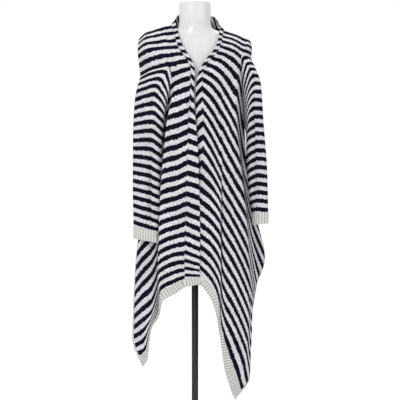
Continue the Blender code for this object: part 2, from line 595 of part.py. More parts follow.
# ---- the whole garment ---------------------------------------------------------------------------
def main():
    for old in list(bpy.data.objects):
        bpy.data.objects.remove(old, do_unlink=True)
    striped = finish_colour("striped knit", STRIPE_MEAN, 0.9)
    banded = finish_colour("striped band", NAVY, 0.9)
    rib = finish_colour("ivory rib", IVORY, 0.9)
    gloss = finish_colour("gloss white", GLOSS_WHITE, 0.15)
    black = finish_colour("black stand", STAND_BLACK, 0.35)

    right_lines = lines(RIGHT_FRONT_COURSES, RIGHT_FRONT)
    left_lines = lines(LEFT_FRONT_COURSES, LEFT_FRONT)
    right_side = back_side(right_lines[-1], RIGHT_UNDERARM, RIGHT_ARMHOLE_COURSES,
                           RIGHT_BACK_ARMHOLE, RIGHT_VENT, RIGHT_BACK_OPENING, RIGHT_BACK_LIFT)
    left_side = back_side(left_lines[-1], LEFT_UNDERARM, LEFT_ARMHOLE_COURSES,
                          LEFT_BACK_ARMHOLE, LEFT_VENT, LEFT_BACK_OPENING, LEFT_BACK_LIFT)
    back_lines = lines(RIGHT_FLAP_COURSES, RIGHT_BACK_FLAP)[::-1] + [right_side]
    back_lines += lines(BACK_COURSES, BACK) + [left_side] + lines(LEFT_BACK_FLAP_COURSES, LEFT_BACK_FLAP)

    right, _, right_end = panel_sheet(right_lines + lines(RIGHT_FLAP_COURSES, RIGHT_FLAP), 0, 2,
                                      FLAP_ROWS, ARM_ROWS + BODY_ROWS, 1)
    left, _, left_end = panel_sheet(left_lines + lines(LEFT_FLAP_COURSES, LEFT_FLAP), 0, 2,
                                    LEFT_FLAP_ROWS, LEFT_ARM_ROWS + BODY_ROWS, -1)
    back, back_start, back_end = panel_sheet(back_lines, 2, 2, FLAP_ROWS, ARM_ROWS + BODY_ROWS, 1)
    right_rows = FLAP_ROWS + ARM_ROWS + BODY_ROWS
    left_rows = LEFT_FLAP_ROWS + LEFT_ARM_ROWS + BODY_ROWS
    flap, left_flap = len(FLAP_ROWS) - 1, len(LEFT_FLAP_ROWS) - 1
    right_underarm, left_underarm = right_rows.index(RIGHT_UNDERARM), left_rows.index(LEFT_UNDERARM)
    back_underarm = right_rows.index(LEFT_UNDERARM)
    tip_right, tip_left = right.points.shape[0] - 1, left.points.shape[0] - 1
    right_loop = armhole(
        right, [(k, flap) for k in range(tip_right, right_end - 1, -1)],
        [(right_end, row) for row in range(flap, right_underarm + 1)],
        back, [(back_start, row) for row in range(right_underarm, flap - 1, -1)],
        [(k, flap) for k in range(back_start, -1, -1)])
    left_loop = armhole(
        left, [(k, left_flap) for k in range(tip_left, left_end - 1, -1)],
        [(left_end, row) for row in range(left_flap, left_underarm + 1)],
        back, [(back_end, row) for row in range(back_underarm, flap - 1, -1)],
        [(k, flap) for k in range(back_end, back.points.shape[0])])
    for side, loop, rings, turn in (("right", right_loop, RIGHT_SLEEVE, RIGHT_UNDERARM_TURN),
                                    ("left", left_loop, LEFT_SLEEVE, LEFT_UNDERARM_TURN)):
        sleeve = sleeve_sheet(*loop, rings, turn)
        add_sleeve("sleeve_" + side, sleeve, striped)
        add_cuff("cuff_" + side, sleeve, rib)

    right_band = band_sheet(right, 0, right_rows, RIGHT_BAND_COURSES, RIGHT_BAND, -1)
    left_band = band_sheet(left, 0, left_rows, LEFT_BAND_COURSES, LEFT_BAND, 1)
    add_band("band_front_right", right_band, banded)
    add_band("band_front_left", left_band, banded)
    neck = back_start + COLUMNS_PER_LINE, back_end - COLUMNS_PER_LINE
    add_neck_band(back, *neck, banded)

    add_hem("hem_front_right", right, 0, right_end, rib, before=right_band)
    add_hem("hem_front_left", left, 0, left_end, rib)
    add_hem("hem_back", back, back_start, back_end, rib)
    add_edging("edging_front_right", right, right_end, -1, right_rows.index(RIGHT_VENT), rib)
    add_edging("edging_front_left", left, left_end, -1, left_rows.index(LEFT_VENT), rib)
    add_edging("edging_back_right", back, back_start, 1, right_rows.index(RIGHT_VENT), rib)
    add_edging("edging_back_left", back, back_end, -1, right_rows.index(LEFT_VENT), rib)

    add_panel("front_right", right, striped)
    add_panel("front_left", left, striped)
    add_panel("back", back, striped)

    add_form(gloss)
    add_stand(black)


main()
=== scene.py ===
"""Looks of the striped cardigan with a handkerchief hem, hanging on a limbless dress form.

Metres in the model's frame: +X to the viewer's right, the front towards -Y, +Z up. The
tables are in millimetres. "Course" counts the colour repeats of the knit downwards from the
shoulder seam, so a row of a piece's grid is one knitted row: the stripes are painted by it.
Each knitted piece is one grid of points on its inner face, made a thin wall, with a UV map
"knit" that holds the distance along the row (u, metres) and the course (v).
"""

import math

import bpy
import numpy as np
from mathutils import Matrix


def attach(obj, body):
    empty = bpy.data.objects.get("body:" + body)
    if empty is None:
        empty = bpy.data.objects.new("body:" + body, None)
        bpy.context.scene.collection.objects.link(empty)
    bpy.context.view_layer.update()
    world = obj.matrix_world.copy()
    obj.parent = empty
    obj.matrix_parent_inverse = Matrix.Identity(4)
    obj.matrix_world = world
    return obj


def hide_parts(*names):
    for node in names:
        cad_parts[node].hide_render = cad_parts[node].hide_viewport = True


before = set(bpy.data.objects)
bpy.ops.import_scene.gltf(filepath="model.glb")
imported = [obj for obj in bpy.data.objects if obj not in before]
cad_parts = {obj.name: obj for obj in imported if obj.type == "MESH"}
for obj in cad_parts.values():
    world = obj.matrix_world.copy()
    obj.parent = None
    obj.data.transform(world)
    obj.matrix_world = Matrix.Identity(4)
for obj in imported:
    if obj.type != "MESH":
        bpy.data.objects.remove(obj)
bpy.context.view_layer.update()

# ---- the two fronts and the back: their cut --------------------------------------------------
# Wide panels of striped knit, sewn to each other at the shoulders and down the sides to the top
# of the vents. They hang from the form's shoulders, and their outer corners drop to points.
MM = 0.001
LAST_COURSE = 28.5             # where the stripes end and the hem rib begins
HEM_COURSE = 29.7              # lower edge of the hem rib
RIGHT_UNDERARM = 12.0          # course at the lowest point of each armhole
LEFT_UNDERARM = 9.6
RIGHT_VENT = 17.0              # below it the side edges of front and back hang apart
LEFT_VENT = 14.0
FLAP_COURSE = 6.3              # the sleeve seam across the upper arm
SIDE_GAP = 1.0 * MM            # between front and back where they are sewn together
RIGHT_BACK_OPENING = 50 * MM   # how far back the back's corner hangs from the front's
RIGHT_BACK_LIFT = 25 * MM      # and how much higher
LEFT_BACK_OPENING = 60 * MM
LEFT_BACK_LIFT = 30 * MM

# A row is a line of the cloth, named for the fold it makes, with its point (x, y, z) at each
# course of the panel.
RIGHT_FRONT_COURSES = (0.0, 4.0, 7.2, 12.0, 21.0, 26.0, HEM_COURSE)
RIGHT_FRONT = {
    # at:          shoulder seam    collarbone        neck point        underarm
    #              hip              thigh             hem
    "front edge": ((-85, 8, 1468), (-60, -64, 1381), (-15, -101, 1294), (-23, -124, 1112),
                   (-32, -132, 788), (-36, -132, 626), (-34, -130, 535)),
    "middle": ((-104, 6, 1464), (-84, -62, 1380), (-45, -103, 1288), (-58, -122, 1100),
               (-62, -130, 780), (-64, -130, 621), (-66, -128, 512)),
    "first ridge": ((-116, 5, 1461), (-99, -60, 1380), (-66, -103, 1279), (-99, -114, 1085),
                    (-123, -122, 758), (-127, -121, 586), (-113, -118, 482)),
    "first valley": ((-124, 5, 1458), (-108, -59, 1379), (-71, -102, 1277), (-103, -62, 1065),
                     (-121, -48, 715), (-129, -66, 513), (-126, -78, 429)),
    "second ridge": ((-131, 4, 1456), (-115, -58, 1379), (-75, -102, 1276), (-110, -36, 1048),
                     (-150, -62, 625), (-154, -84, 423), (-152, -92, 385)),
    "outer face": ((-138, 4, 1454), (-122, -57, 1378), (-78, -101, 1275), (-131, -14, 1034),
                   (-188, -48, 578), (-184, -64, 381), (-168, -74, 272)),
    "side edge": ((-145, 3, 1451), (-129, -56, 1378), (-82, -101, 1274), (-156, 0, 1020),
                  (-213, -12, 547), (-217, -30, 352), (-181, -54, 250)),
}
RIGHT_FLAP_COURSES = (0.0, 3.4, FLAP_COURSE)
RIGHT_FLAP = {
    "over the arm": ((-176, 1, 1440), (-170, -54, 1385), (-144, -88, 1297)),
    "shoulder tip": ((-201, -1, 1419), (-204, -4, 1372), (-194, -8, 1283)),
}

LEFT_FRONT_COURSES = (3.5, 7.0, 11.5, 14.0, 17.0, 22.0, 26.5, HEM_COURSE)
LEFT_FRONT = {
    # at:          shoulder seam    collarbone         neck point        bust
    #              underarm         hip                thigh             hem
    "front edge": ((104, 8, 1450), (89, -62, 1380), (27, -106, 1273), (28, -119, 1184),
                   (32, -126, 1054), (16, -133, 828), (16, -132, 648), (15, -130, 549)),
    "middle": ((126, 6, 1442), (112, -60, 1372), (60, -107, 1255), (56, -120, 1151),
               (56, -128, 1016), (56, -135, 800), (56, -133, 618), (56, -130, 493)),
    "crease brow": ((140, 5, 1437), (128, -58, 1365), (92, -103, 1217), (88, -115, 1097),
                    (88, -125, 950), (88, -135, 755), (86, -132, 565), (75, -128, 434)),
    "crease floor": ((147, 4, 1434), (137, -57, 1361), (100, -102, 1199), (95, -112, 1086),
                     (93, -120, 936), (92, -112, 722), (92, -115, 516), (84, -123, 378)),
    "crease rise": ((155, 4, 1431), (144, -56, 1356), (109, -100, 1187), (104, -110, 1072),
                    (100, -119, 918), (98, -127, 685), (100, -124, 466), (92, -122, 325)),
    "face": ((162, 3, 1428), (151, -54, 1351), (125, -96, 1161), (127, -103, 1031),
             (134, -109, 859), (144, -113, 603), (140, -112, 388), (105, -110, 239)),
    "front ridge": ((168, 3, 1425), (157, -52, 1346), (142, -88, 1130), (159, -86, 968),
                    (180, -84, 771), (192, -86, 486), (178, -92, 300), (122, -94, 184)),
    "side valley": ((174, 2, 1422), (160, -50, 1344), (150, -56, 1110), (164, -42, 938),
                    (186, -44, 717), (195, -60, 441), (186, -78, 268), (129, -82, 160)),
    "outer fold": ((180, 2, 1420), (162, -50, 1343), (168, 4, 990), (200, 10, 766),
                   (204, -8, 616), (202, -44, 421), (191, -62, 240), (134, -76, 148)),
    "side edge": ((185, 1, 1417), (164, -49, 1341), (192, 26, 900), (252, 26, 636),
                  (220, 8, 536), (200, -34, 406), (193, -52, 218), (138, -72, 140)),
}
LEFT_FLAP_COURSES = (3.5, 5.0, 6.6)
LEFT_FLAP = {
    "over the arm": ((192, 0, 1414), (190, -30, 1386), (184, -42, 1350)),
    "shoulder tip": ((199, -2, 1408), (203, -3, 1382), (200, -4, 1348)),
}

BACK_COURSES = (0.0, 4.0, 8.0, 14.0, 21.0, 26.0, HEM_COURSE)
BACK = {
    # at:            seam             blades           back              waist
    #                hip              thigh            hem
    "right neck": ((-85, 9, 1468), (-86, 86, 1366), (-92, 104, 1236), (-98, 104, 1028),
                   (-108, 108, 786), (-118, 106, 612), (-118, 104, 512)),
    "right fold": ((-52, 58, 1472), (-54, 94, 1356), (-60, 112, 1226), (-66, 124, 1032),
                   (-72, 138, 798), (-78, 144, 634), (-78, 146, 522)),
    "centre": ((0, 74, 1474), (0, 96, 1348), (0, 110, 1218), (0, 112, 1028),
               (0, 114, 802), (0, 116, 642), (2, 118, 524)),
    "left fold": ((60, 58, 1466), (60, 94, 1350), (66, 112, 1220), (72, 124, 1024),
                  (78, 138, 790), (82, 144, 626), (84, 146, 506)),
    "left neck": ((104, 9, 1450), (102, 84, 1352), (104, 102, 1222), (112, 102, 1010),
                  (124, 106, 762), (134, 106, 582), (136, 104, 452)),
}
# The back's side edge down to the underarm; from there it follows the front's.
RIGHT_ARMHOLE_COURSES = (0.0, 4.0, 7.2, RIGHT_UNDERARM)
LEFT_ARMHOLE_COURSES = (0.0, 3.6, FLAP_COURSE, LEFT_UNDERARM)
RIGHT_BACK_ARMHOLE = ((-145, 4, 1451), (-142, 50, 1376), (-132, 62, 1276), (-156, 1, 1020))
LEFT_BACK_ARMHOLE = ((185, 2, 1417), (166, 46, 1350), (160, 56, 1270), (180, 5, 1090))
LEFT_BACK_FLAP_COURSES = (0.0, 3.05, FLAP_COURSE)
RIGHT_BACK_FLAP = {
    "over the arm": ((-176, 2, 1440), (-176, 40, 1388), (-170, 46, 1290)),
    "shoulder tip": ((-201, 0, 1419), (-204, -3, 1372), (-194, -7, 1283)),
}
LEFT_BACK_FLAP = {
    "over the arm": ((192, 1, 1414), (193, 28, 1380), (190, 34, 1336)),
    "shoulder tip": ((199, -1, 1408), (203, -2, 1382), (200, -3, 1348)),
}


def smooth(knots, values, at):
    """Cubic Hermite curve through values at knots, without overshoot: the slope at a knot
    is the harmonic mean of its two chords, and zero where they turn back."""
    knots = np.asarray(knots, float)
    values = np.asarray(values, float)
    at = np.asarray(at, float)
    step = np.diff(knots).reshape((-1,) + (1,) * (values.ndim - 1))
    chord = np.diff(values, axis=0) / step
    slope = np.zeros_like(values)
    before, after = chord[:-1], chord[1:]
    same = before * after > 0
    total = np.where(same, before + after, 1.0)
    slope[1:-1] = np.where(same, 2 * before * after / total, 0.0)
    slope[0], slope[-1] = chord[0], chord[-1]
    cell = np.clip(np.searchsorted(knots, at, side="right") - 1, 0, len(knots) - 2)
    shape = at.shape + (1,) * (values.ndim - 1)
    width = (knots[cell + 1] - knots[cell]).reshape(shape)
    t = ((at - knots[cell])).reshape(shape) / width
    inside = np.clip(t, 0.0, 1.0)
    a, b = values[cell], values[cell + 1]
    sa, sb = slope[cell] * width, slope[cell + 1] * width
    cubic = (2 * inside**3 - 3 * inside**2 + 1) * a + (inside**3 - 2 * inside**2 + inside) * sa
    cubic += (3 * inside**2 - 2 * inside**3) * b + (inside**3 - inside**2) * sb
    return cubic + np.where(t > 1, (t - 1) * sb, 0.0) + np.where(t < 0, t * sa, 0.0)


def fine_rows(stops, step):
    """Courses from the first stop to the last, about a step apart and with every stop."""
    rows = [stops[0]]
    for a, b in zip(stops, stops[1:]):
        count = math.ceil((b - a) / step)
        rows += [a + (b - a) * k / count for k in range(1, count)] + [b]
    return rows


# The grids: lines from each table line to the next, and the courses of their rows. The left
# front starts lower down the shoulder seam, so its rows over the arm are its own.
COLUMNS_PER_LINE = 8
FLAP_ROWS = fine_rows([0.0, FLAP_COURSE], 0.25)
LEFT_FLAP_ROWS = fine_rows([3.5, 6.6], 0.2)
ARM_ROWS = fine_rows([FLAP_COURSE, LEFT_UNDERARM], 0.25)[1:-1]
LEFT_ARM_ROWS = fine_rows([6.6, LEFT_UNDERARM], 0.25)[1:-1]
BODY_ROWS = fine_rows([LEFT_UNDERARM, RIGHT_UNDERARM, LEFT_VENT, RIGHT_VENT, LAST_COURSE], 0.25)
HEM_ROWS = [28.8, 29.1, 29.4, HEM_COURSE]


def line(courses, points):
    """A line of the cloth as a function of the course, in metres."""
    table = np.array(points, float) * MM
    return lambda course: smooth(courses, table, course)


def lines(courses, table):
    """Each row of a table as such a line."""
    return [line(courses, points) for points in table.values()]


def cloth(down_lines, across, courses):
    """The knit between the lines: across counts lines, courses count colour repeats."""
    at_courses = np.stack([one(courses) for one in down_lines])
    return smooth(np.arange(len(down_lines)), at_courses, across)


def unit(vectors):
    """The vectors, each divided by its length."""
    return vectors / np.maximum(np.linalg.norm(vectors, axis=-1, keepdims=True), 1e-12)


def grid_faces(across, down, keep=None, ring=False):
    """Quads of a grid, as rows of four point numbers; keep picks the cells that are cloth,
    and a ring is closed from its last line across to its first."""
    numbers = np.arange(across * down).reshape(across, down)
    if ring:
        numbers = np.concatenate([numbers, numbers[:1]])
    corners = (numbers[:-1, :-1], numbers[1:, :-1], numbers[1:, 1:], numbers[:-1, 1:])
    faces = np.stack([c.ravel() for c in corners], axis=1)
    return faces if keep is None else faces[keep.ravel()]


def point_normals(points, faces):
    """Unit normals at the points: the sum of the crossed diagonals of the quads there."""
    flat = points.reshape(-1, 3)
    diagonal = flat[faces[:, 2]] - flat[faces[:, 0]]
    normal = np.cross(diagonal, flat[faces[:, 3]] - flat[faces[:, 1]])
    total = np.zeros_like(flat)
    for corner in range(4):
        np.add.at(total, faces[:, corner], normal)
    return unit(total).reshape(points.shape)


class Sheet:
    """A grid of points on the inner face of a cloth, (lines across, rows down, xyz), with
    the outward normal at each; outward is -1 where the grid runs the other way round."""

    def __init__(self, points, outward=1, keep=None, ring=False):
        self.points = points
        self.faces = grid_faces(*points.shape[:2], keep, ring)
        self.normals = point_normals(points, self.faces) * outward


def spread(count):
    """Places of the grid's lines over count lines of a table."""
    return np.linspace(0, count - 1, (count - 1) * COLUMNS_PER_LINE + 1)


def body_edges(flap, body):
    """The body's rows without the last, from the last flap row on."""
    return np.concatenate([flap[-1:], body[:-1]])


def panel_sheet(every_line, left_out, right_out, flap_rows, body_rows, outward):
    """A body panel. All its lines run down to the last flap row; the left_out first and the
    right_out last lines, which lie over the arms, stop there."""
    flap, body = np.array(flap_rows), np.array(body_rows)
    inside = every_line[left_out: len(every_line) - right_out]
    start = left_out * COLUMNS_PER_LINE
    end = start + (len(inside) - 1) * COLUMNS_PER_LINE
    top = cloth(every_line, spread(len(every_line)), flap)
    points = np.zeros((len(top), len(flap) + len(body), 3))
    points[:, : len(flap)] = top
    below = cloth(inside, spread(len(inside)), body_edges(flap, body))
    points[start: end + 1, len(flap) - 1:-1] = below
    points[start: end + 1, -1] = cloth(inside, spread(len(inside)), body[-1:])[:, 0]
    keep = np.ones((len(top) - 1, len(flap) + len(body) - 1), bool)
    keep[:start, len(flap) - 1:] = False
    keep[end:, len(flap) - 1:] = False
    return Sheet(points, outward, keep), start, end


def back_side(front_side, front_underarm, armhole_courses, armhole_points, vent, backward, lift):
    """The back's side edge: its own armhole down to the underarm, then the front's side
    edge, from which it hangs away backwards below the top of the vent."""
    own = np.array(armhole_points, float) * MM
    own[-1] = front_side(np.array([front_underarm]))[0] + np.array([0, SIDE_GAP, 0])
    knots = np.array(armhole_courses, float)

    def at(course):
        course = np.asarray(course, float)
        apart = np.clip((course - vent) / (HEM_COURSE - vent), 0, 1)[:, None]
        below = front_side(course) + np.array([0, SIDE_GAP, 0])
        below = below + apart * np.array([0, backward, lift])
        return np.where((course > front_underarm)[:, None], below, smooth(knots, own, course))

    return at


right_lines = lines(RIGHT_FRONT_COURSES, RIGHT_FRONT)
left_lines = lines(LEFT_FRONT_COURSES, LEFT_FRONT)
right_side = back_side(right_lines[-1], RIGHT_UNDERARM, RIGHT_ARMHOLE_COURSES,
                       RIGHT_BACK_ARMHOLE, RIGHT_VENT, RIGHT_BACK_OPENING, RIGHT_BACK_LIFT)
left_side = back_side(left_lines[-1], LEFT_UNDERARM, LEFT_ARMHOLE_COURSES,
                      LEFT_BACK_ARMHOLE, LEFT_VENT, LEFT_BACK_OPENING, LEFT_BACK_LIFT)
back_lines = lines(RIGHT_FLAP_COURSES, RIGHT_BACK_FLAP)[::-1] + [right_side]
back_lines += lines(BACK_COURSES, BACK) + [left_side] + lines(LEFT_BACK_FLAP_COURSES, LEFT_BACK_FLAP)

body_rows = BODY_ROWS + HEM_ROWS
right, _, right_end = panel_sheet(right_lines + lines(RIGHT_FLAP_COURSES, RIGHT_FLAP), 0, 2,
                                  FLAP_ROWS, ARM_ROWS + body_rows, 1)
left, _, left_end = panel_sheet(left_lines + lines(LEFT_FLAP_COURSES, LEFT_FLAP), 0, 2,
                                LEFT_FLAP_ROWS, LEFT_ARM_ROWS + body_rows, -1)
back, back_start, back_end = panel_sheet(back_lines, 2, 2, FLAP_ROWS, ARM_ROWS + body_rows, 1)
right_rows = FLAP_ROWS + ARM_ROWS + body_rows
left_rows = LEFT_FLAP_ROWS + LEFT_ARM_ROWS + body_rows

# ---- the sleeves: their cut, and the armhole seams -------------------------------------------
# Tubes of the same knit, set in low on the upper arm. Each is sewn round an armhole of front and
# back, and at that seam the three lean one way, so this comes before any wall is made.

# A sleeve's rings below the armhole: centre x, y, half width and half depth, turn in plan
# (degrees), and height at the outer and at the inner side of the arm.
RIGHT_SLEEVE = {
    "upper arm": (-165, -66, 46, 34, 14, 1200, 985),
    "elbow": (-171, -74, 48, 26, 19, 1060, 895),
    "forearm": (-172, -79, 48, 21, 20, 900, 815),
    "wrist": (-173, -82, 44, 18, 20, 744, 728),
}
LEFT_SLEEVE = {
    "upper arm": (209, -32, 23, 36, -8, 1250, 1060),
    "elbow": (214, -42, 27, 37, -8, 1110, 960),
    "forearm": (223, -46, 30, 36, -8, 950, 870),
    "wrist": (232, -44, 25, 34, -8, 798, 792),
}
SLEEVE_CORNER = 0.82           # below 1 the rings are fuller than an ellipse
RIGHT_UNDERARM_TURN = 0.68     # where the underarm lies on the rings: past 0.5, towards the
LEFT_UNDERARM_TURN = 0.56      # back, as the sleeves hang in front of the body
SLEEVE_ROWS = 96


def ring_point(ring, turn):
    """Points of a sleeve ring at the turns (0 outer, 0.25 front, 0.5 inner, 0.75 back)."""
    x, y, half_width, half_depth, plan, outer_z, inner_z = ring
    side = 1 if x > 0 else -1
    angle = turn * 2 * np.pi
    along, front = np.cos(angle), np.sin(angle)
    fuller_along = np.sign(along) * np.abs(along) ** SLEEVE_CORNER * half_width
    fuller_front = np.sign(front) * np.abs(front) ** SLEEVE_CORNER * half_depth
    swing = math.radians(plan)
    out = fuller_along * math.cos(swing) - fuller_front * math.sin(swing)
    back = fuller_along * math.sin(swing) - fuller_front * math.cos(swing)
    height = (outer_z + inner_z) / 2 + (outer_z - inner_z) / 2 * along
    return np.stack([x + side * out, y + back, height], axis=-1) * MM


def armhole(front, front_flap, front_side, back, back_side, back_flap):
    """The loop that a sleeve is sewn to: the front flap's lower edge inwards, the front's
    side edge down to the underarm, the back's side edge up, the back flap outwards. Each
    run lists (line, row) in its sheet. The loop is a list of the (sheet, place) that meet at
    each point, two of them at the shoulder tip and at the underarm; then the underarm's place."""
    loop = [[(front, at)] for at in front_flap + front_side[1:]]
    loop[0].append((back, back_flap[-1]))
    loop[-1].append((back, back_side[0]))
    underarm = len(loop) - 1
    return loop + [[(back, at)] for at in back_side[1:] + back_flap[1:-1]], underarm


def sleeve_sheet(members, underarm, rings, underarm_turn):
    """Rings from the armhole loop down to the wrist; the loop's points share out the turn.
    At the seam the sleeve and what it is sewn to lean the same way; at the underarm it is
    the front's side edge that leans down and forwards with the sleeve."""
    loop = np.array([np.mean([sheet.points[at] for sheet, at in meet], axis=0) for meet in members])
    steps = np.linalg.norm(np.roll(loop, -1, axis=0) - loop, axis=1)
    along = np.concatenate([[0], np.cumsum(steps)])
    turn = np.interp(along[:-1], (0, along[underarm], along[-1]), (0, underarm_turn, 1))
    stations = np.stack([loop] + [ring_point(ring, turn) for ring in rings.values()])
    share = np.linspace(0, 1, SLEEVE_ROWS + 1)
    points = np.swapaxes(smooth(np.linspace(0, 1, len(stations)), stations, share), 0, 1)
    sheet = Sheet(points, 1, ring=True)
    if (sheet.normals * (points - points.mean(axis=0, keepdims=True))).sum() < 0:
        sheet.normals = -sheet.normals
    down = np.array([0, 0, -1.0])
    meets = [meet[:1] if k == underarm else meet for k, meet in enumerate(members)]
    sewn = np.array([unit(sum(other.normals[at] for other, at in meet)) for meet in meets])
    shared = sheet.normals[:, 0] + sewn
    shared[underarm] += down
    shared = unit(shared)
    evened = unit(np.roll(shared, 1, axis=0) + 2 * shared + np.roll(shared, -1, axis=0))
    evened[underarm] = shared[underarm]
    sheet.normals[:, 0] = evened
    for meet, normal in zip(meets, evened):
        for other, at in meet:
            other.normals[at] = normal
    sheet.normals[:, -1] = unit(sheet.normals[:, -1] * np.array([1, 1, 0]))
    return sheet


flap, left_flap = len(FLAP_ROWS) - 1, len(LEFT_FLAP_ROWS) - 1
right_underarm, left_underarm = right_rows.index(RIGHT_UNDERARM), left_rows.index(LEFT_UNDERARM)
back_underarm = right_rows.index(LEFT_UNDERARM)
tip_right, tip_left = right.points.shape[0] - 1, left.points.shape[0] - 1
right_loop = armhole(
    right, [(k, flap) for k in range(tip_right, right_end - 1, -1)],
    [(right_end, row) for row in range(flap, right_underarm + 1)],
    back, [(back_start, row) for row in range(right_underarm, flap - 1, -1)],
    [(k, flap) for k in range(back_start, -1, -1)])
left_loop = armhole(
    left, [(k, left_flap) for k in range(tip_left, left_end - 1, -1)],
    [(left_end, row) for row in range(left_flap, left_underarm + 1)],
    back, [(back_end, row) for row in range(back_underarm, flap - 1, -1)],
    [(k, flap) for k in range(back_end, back.points.shape[0])])
sleeve_right = sleeve_sheet(*right_loop, RIGHT_SLEEVE, RIGHT_UNDERARM_TURN)
sleeve_left = sleeve_sheet(*left_loop, LEFT_SLEEVE, LEFT_UNDERARM_TURN)

# ---- the two fronts and the back: the knit ---------------------------------------------------
# Plain knit in navy and off-white, 2.4 mm thick, with a colour repeat every 30 mm of courses.
# The panels end where the hem ribs begin.
WALL = 2.4 * MM                # thickness of the knit
COURSE_MM = 30.0               # one navy and one white stripe, down the knit
FOLD_ANGLE = 70                # degrees, past which an edge of the wall is drawn sharp


def across_lengths(points, reference=0):
    """u at each point: the length along its row from the reference line, sum |p(k+1) - p(k)|."""
    steps = np.linalg.norm(np.diff(points, axis=0), axis=-1)
    along = np.concatenate([np.zeros((1, points.shape[1])), np.cumsum(steps, axis=0)])
    return along - along[reference]


def knit_coordinates(points, courses, reference=0):
    """(u, v) at each point: the length along its row, and its course."""
    return np.stack([across_lengths(points, reference), np.broadcast_to(courses, points.shape[:2])], -1)


def shell(name, points, normals, depth, coordinates, material, keep=None):
    """A grid (across, down, 3) made a closed thin wall: outer = inner + normal * depth. Both
    faces carry the knit coordinates (u, v) of their grid point."""
    across, down = points.shape[:2]
    faces = grid_faces(across, down, keep)
    used, numbers = np.unique(faces, return_inverse=True)
    faces = numbers.reshape(faces.shape)
    inner, outward = points.reshape(-1, 3)[used], unit(normals.reshape(-1, 3)[used])
    depth = np.broadcast_to(depth, points.shape[:2]).reshape(-1)[used]
    uv = coordinates.reshape(-1, 2)[used]
    if (point_normals(inner, faces) * outward).sum() < 0:
        faces = faces[:, ::-1]
    count = len(inner)
    edges = np.concatenate([faces[:, [k, (k + 1) % 4]] for k in range(4)]).tolist()
    inside = {(b, a) for a, b in edges}
    rim = [(b, a, a + count, b + count) for a, b in edges if (a, b) not in inside]
    solid = faces.tolist() + (faces[:, ::-1] + count).tolist() + rim
    mesh = bpy.data.meshes.new(name)
    mesh.from_pydata(np.concatenate([inner + outward * depth[:, None], inner]).tolist(), [], solid)
    layer = mesh.uv_layers.new(name="knit")
    corner_point = np.empty(len(mesh.loops), int)
    mesh.loops.foreach_get("vertex_index", corner_point)
    layer.data.foreach_set("uv", uv[corner_point % count].ravel())
    mesh.shade_smooth()
    mesh.set_sharp_from_angle(angle=math.radians(FOLD_ANGLE))
    mesh.materials.append(material)
    piece = bpy.data.objects.new(name + "_knit", mesh)
    bpy.context.scene.collection.objects.link(piece)
    return piece


def place(piece, node):
    """The piece stands for its node and rides with the model."""
    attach(piece, "root")
    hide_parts(node)


def fade(distance, reach):
    """0 at an edge, 1 from reach away: 3t^2 - 2t^3."""
    t = np.clip(distance / reach, 0, 1)
    return t * t * (3 - 2 * t)


def crease_height(u, v, creases):
    """Soft creases: each row is a crest from (u0, v0) to (u1, v1), in mm along
    the row and courses down it, with its half width and height in mm (below zero for a
    hollow). Height falls off as exp(-(distance / half width)^2) and to nothing at its ends,
    and the crest bows by 0.06 of its length."""
    total = np.zeros(u.shape)
    x, y = u * 1000, v * COURSE_MM
    for u0, v0, u1, v1, half_width, height in creases:
        start, run = np.array([u0, v0 * COURSE_MM]), np.array([u1 - u0, (v1 - v0) * COURSE_MM])
        length = np.hypot(*run)
        along = ((x - start[0]) * run[0] + (y - start[1]) * run[1]) / length**2
        off = ((x - start[0]) * run[1] - (y - start[1]) * run[0]) / length
        bow = 0.06 * length * np.sin(np.pi * np.clip(along, 0, 1))
        ends = np.clip(np.sin(np.pi * np.clip(along, 0, 1)), 0, 1) ** 0.7
        total += height * MM * ends * np.exp(-(((off + bow) / half_width) ** 2))
    return total


def link(tree, value, socket):
    """A number, tuple or output socket put into an input socket."""
    if isinstance(value, bpy.types.NodeSocket):
        tree.links.new(value, socket)
    else:
        socket.default_value = value


def maths(tree, operation, *values):
    """The output of a math node on the values."""
    made = tree.nodes.new("ShaderNodeMath")
    made.operation = operation
    for value, socket in zip(values, made.inputs):
        link(tree, value, socket)
    return made.outputs[0]


def ranged(tree, value, low, high, to_low, to_high):
    """The value eased from low..high to to_low..to_high, and held beyond them."""
    made = tree.nodes.new("ShaderNodeMapRange")
    made.interpolation_type = "SMOOTHSTEP"
    for number, socket in zip((value, low, high, to_low, to_high), made.inputs):
        link(tree, number, socket)
    return made.outputs[0]


def mixed(tree, factor, first, second, blend="MIX"):
    """Two colours mixed by a factor."""
    made = tree.nodes.new("ShaderNodeMix")
    made.data_type, made.blend_type = "RGBA", blend
    link(tree, factor, made.inputs[0])
    link(tree, first, made.inputs[6])
    link(tree, second, made.inputs[7])
    return made.outputs[2]


def noise(tree, vector, scale, detail=2.0):
    """Noise from about 0.2 to 0.8 at a place."""
    made = tree.nodes.new("ShaderNodeTexNoise")
    link(tree, vector, made.inputs["Vector"])
    made.inputs["Scale"].default_value = scale
    made.inputs["Detail"].default_value = detail
    return made.outputs[0]


def combined(tree, x, y, z=0.0):
    """Three numbers as one vector or grey."""
    made = tree.nodes.new("ShaderNodeCombineXYZ")
    for value, socket in zip((x, y, z), made.inputs):
        link(tree, value, socket)
    return made.outputs[0]


def scaled(tree, u, v, per_metre, per_course):
    """A place on the knit for a noise: (u per_metre, v per_course, 0)."""
    return combined(tree, maths(tree, "MULTIPLY", u, per_metre), maths(tree, "MULTIPLY", v, per_course))


def wandering(tree, value, amount):
    """(value - 0.5) amount."""
    return maths(tree, "MULTIPLY", maths(tree, "SUBTRACT", value, 0.5), amount)


def waves(tree, value, rate):
    """|sin(value rate)|."""
    return maths(tree, "ABSOLUTE", maths(tree, "SINE", maths(tree, "MULTIPLY", value, rate)))


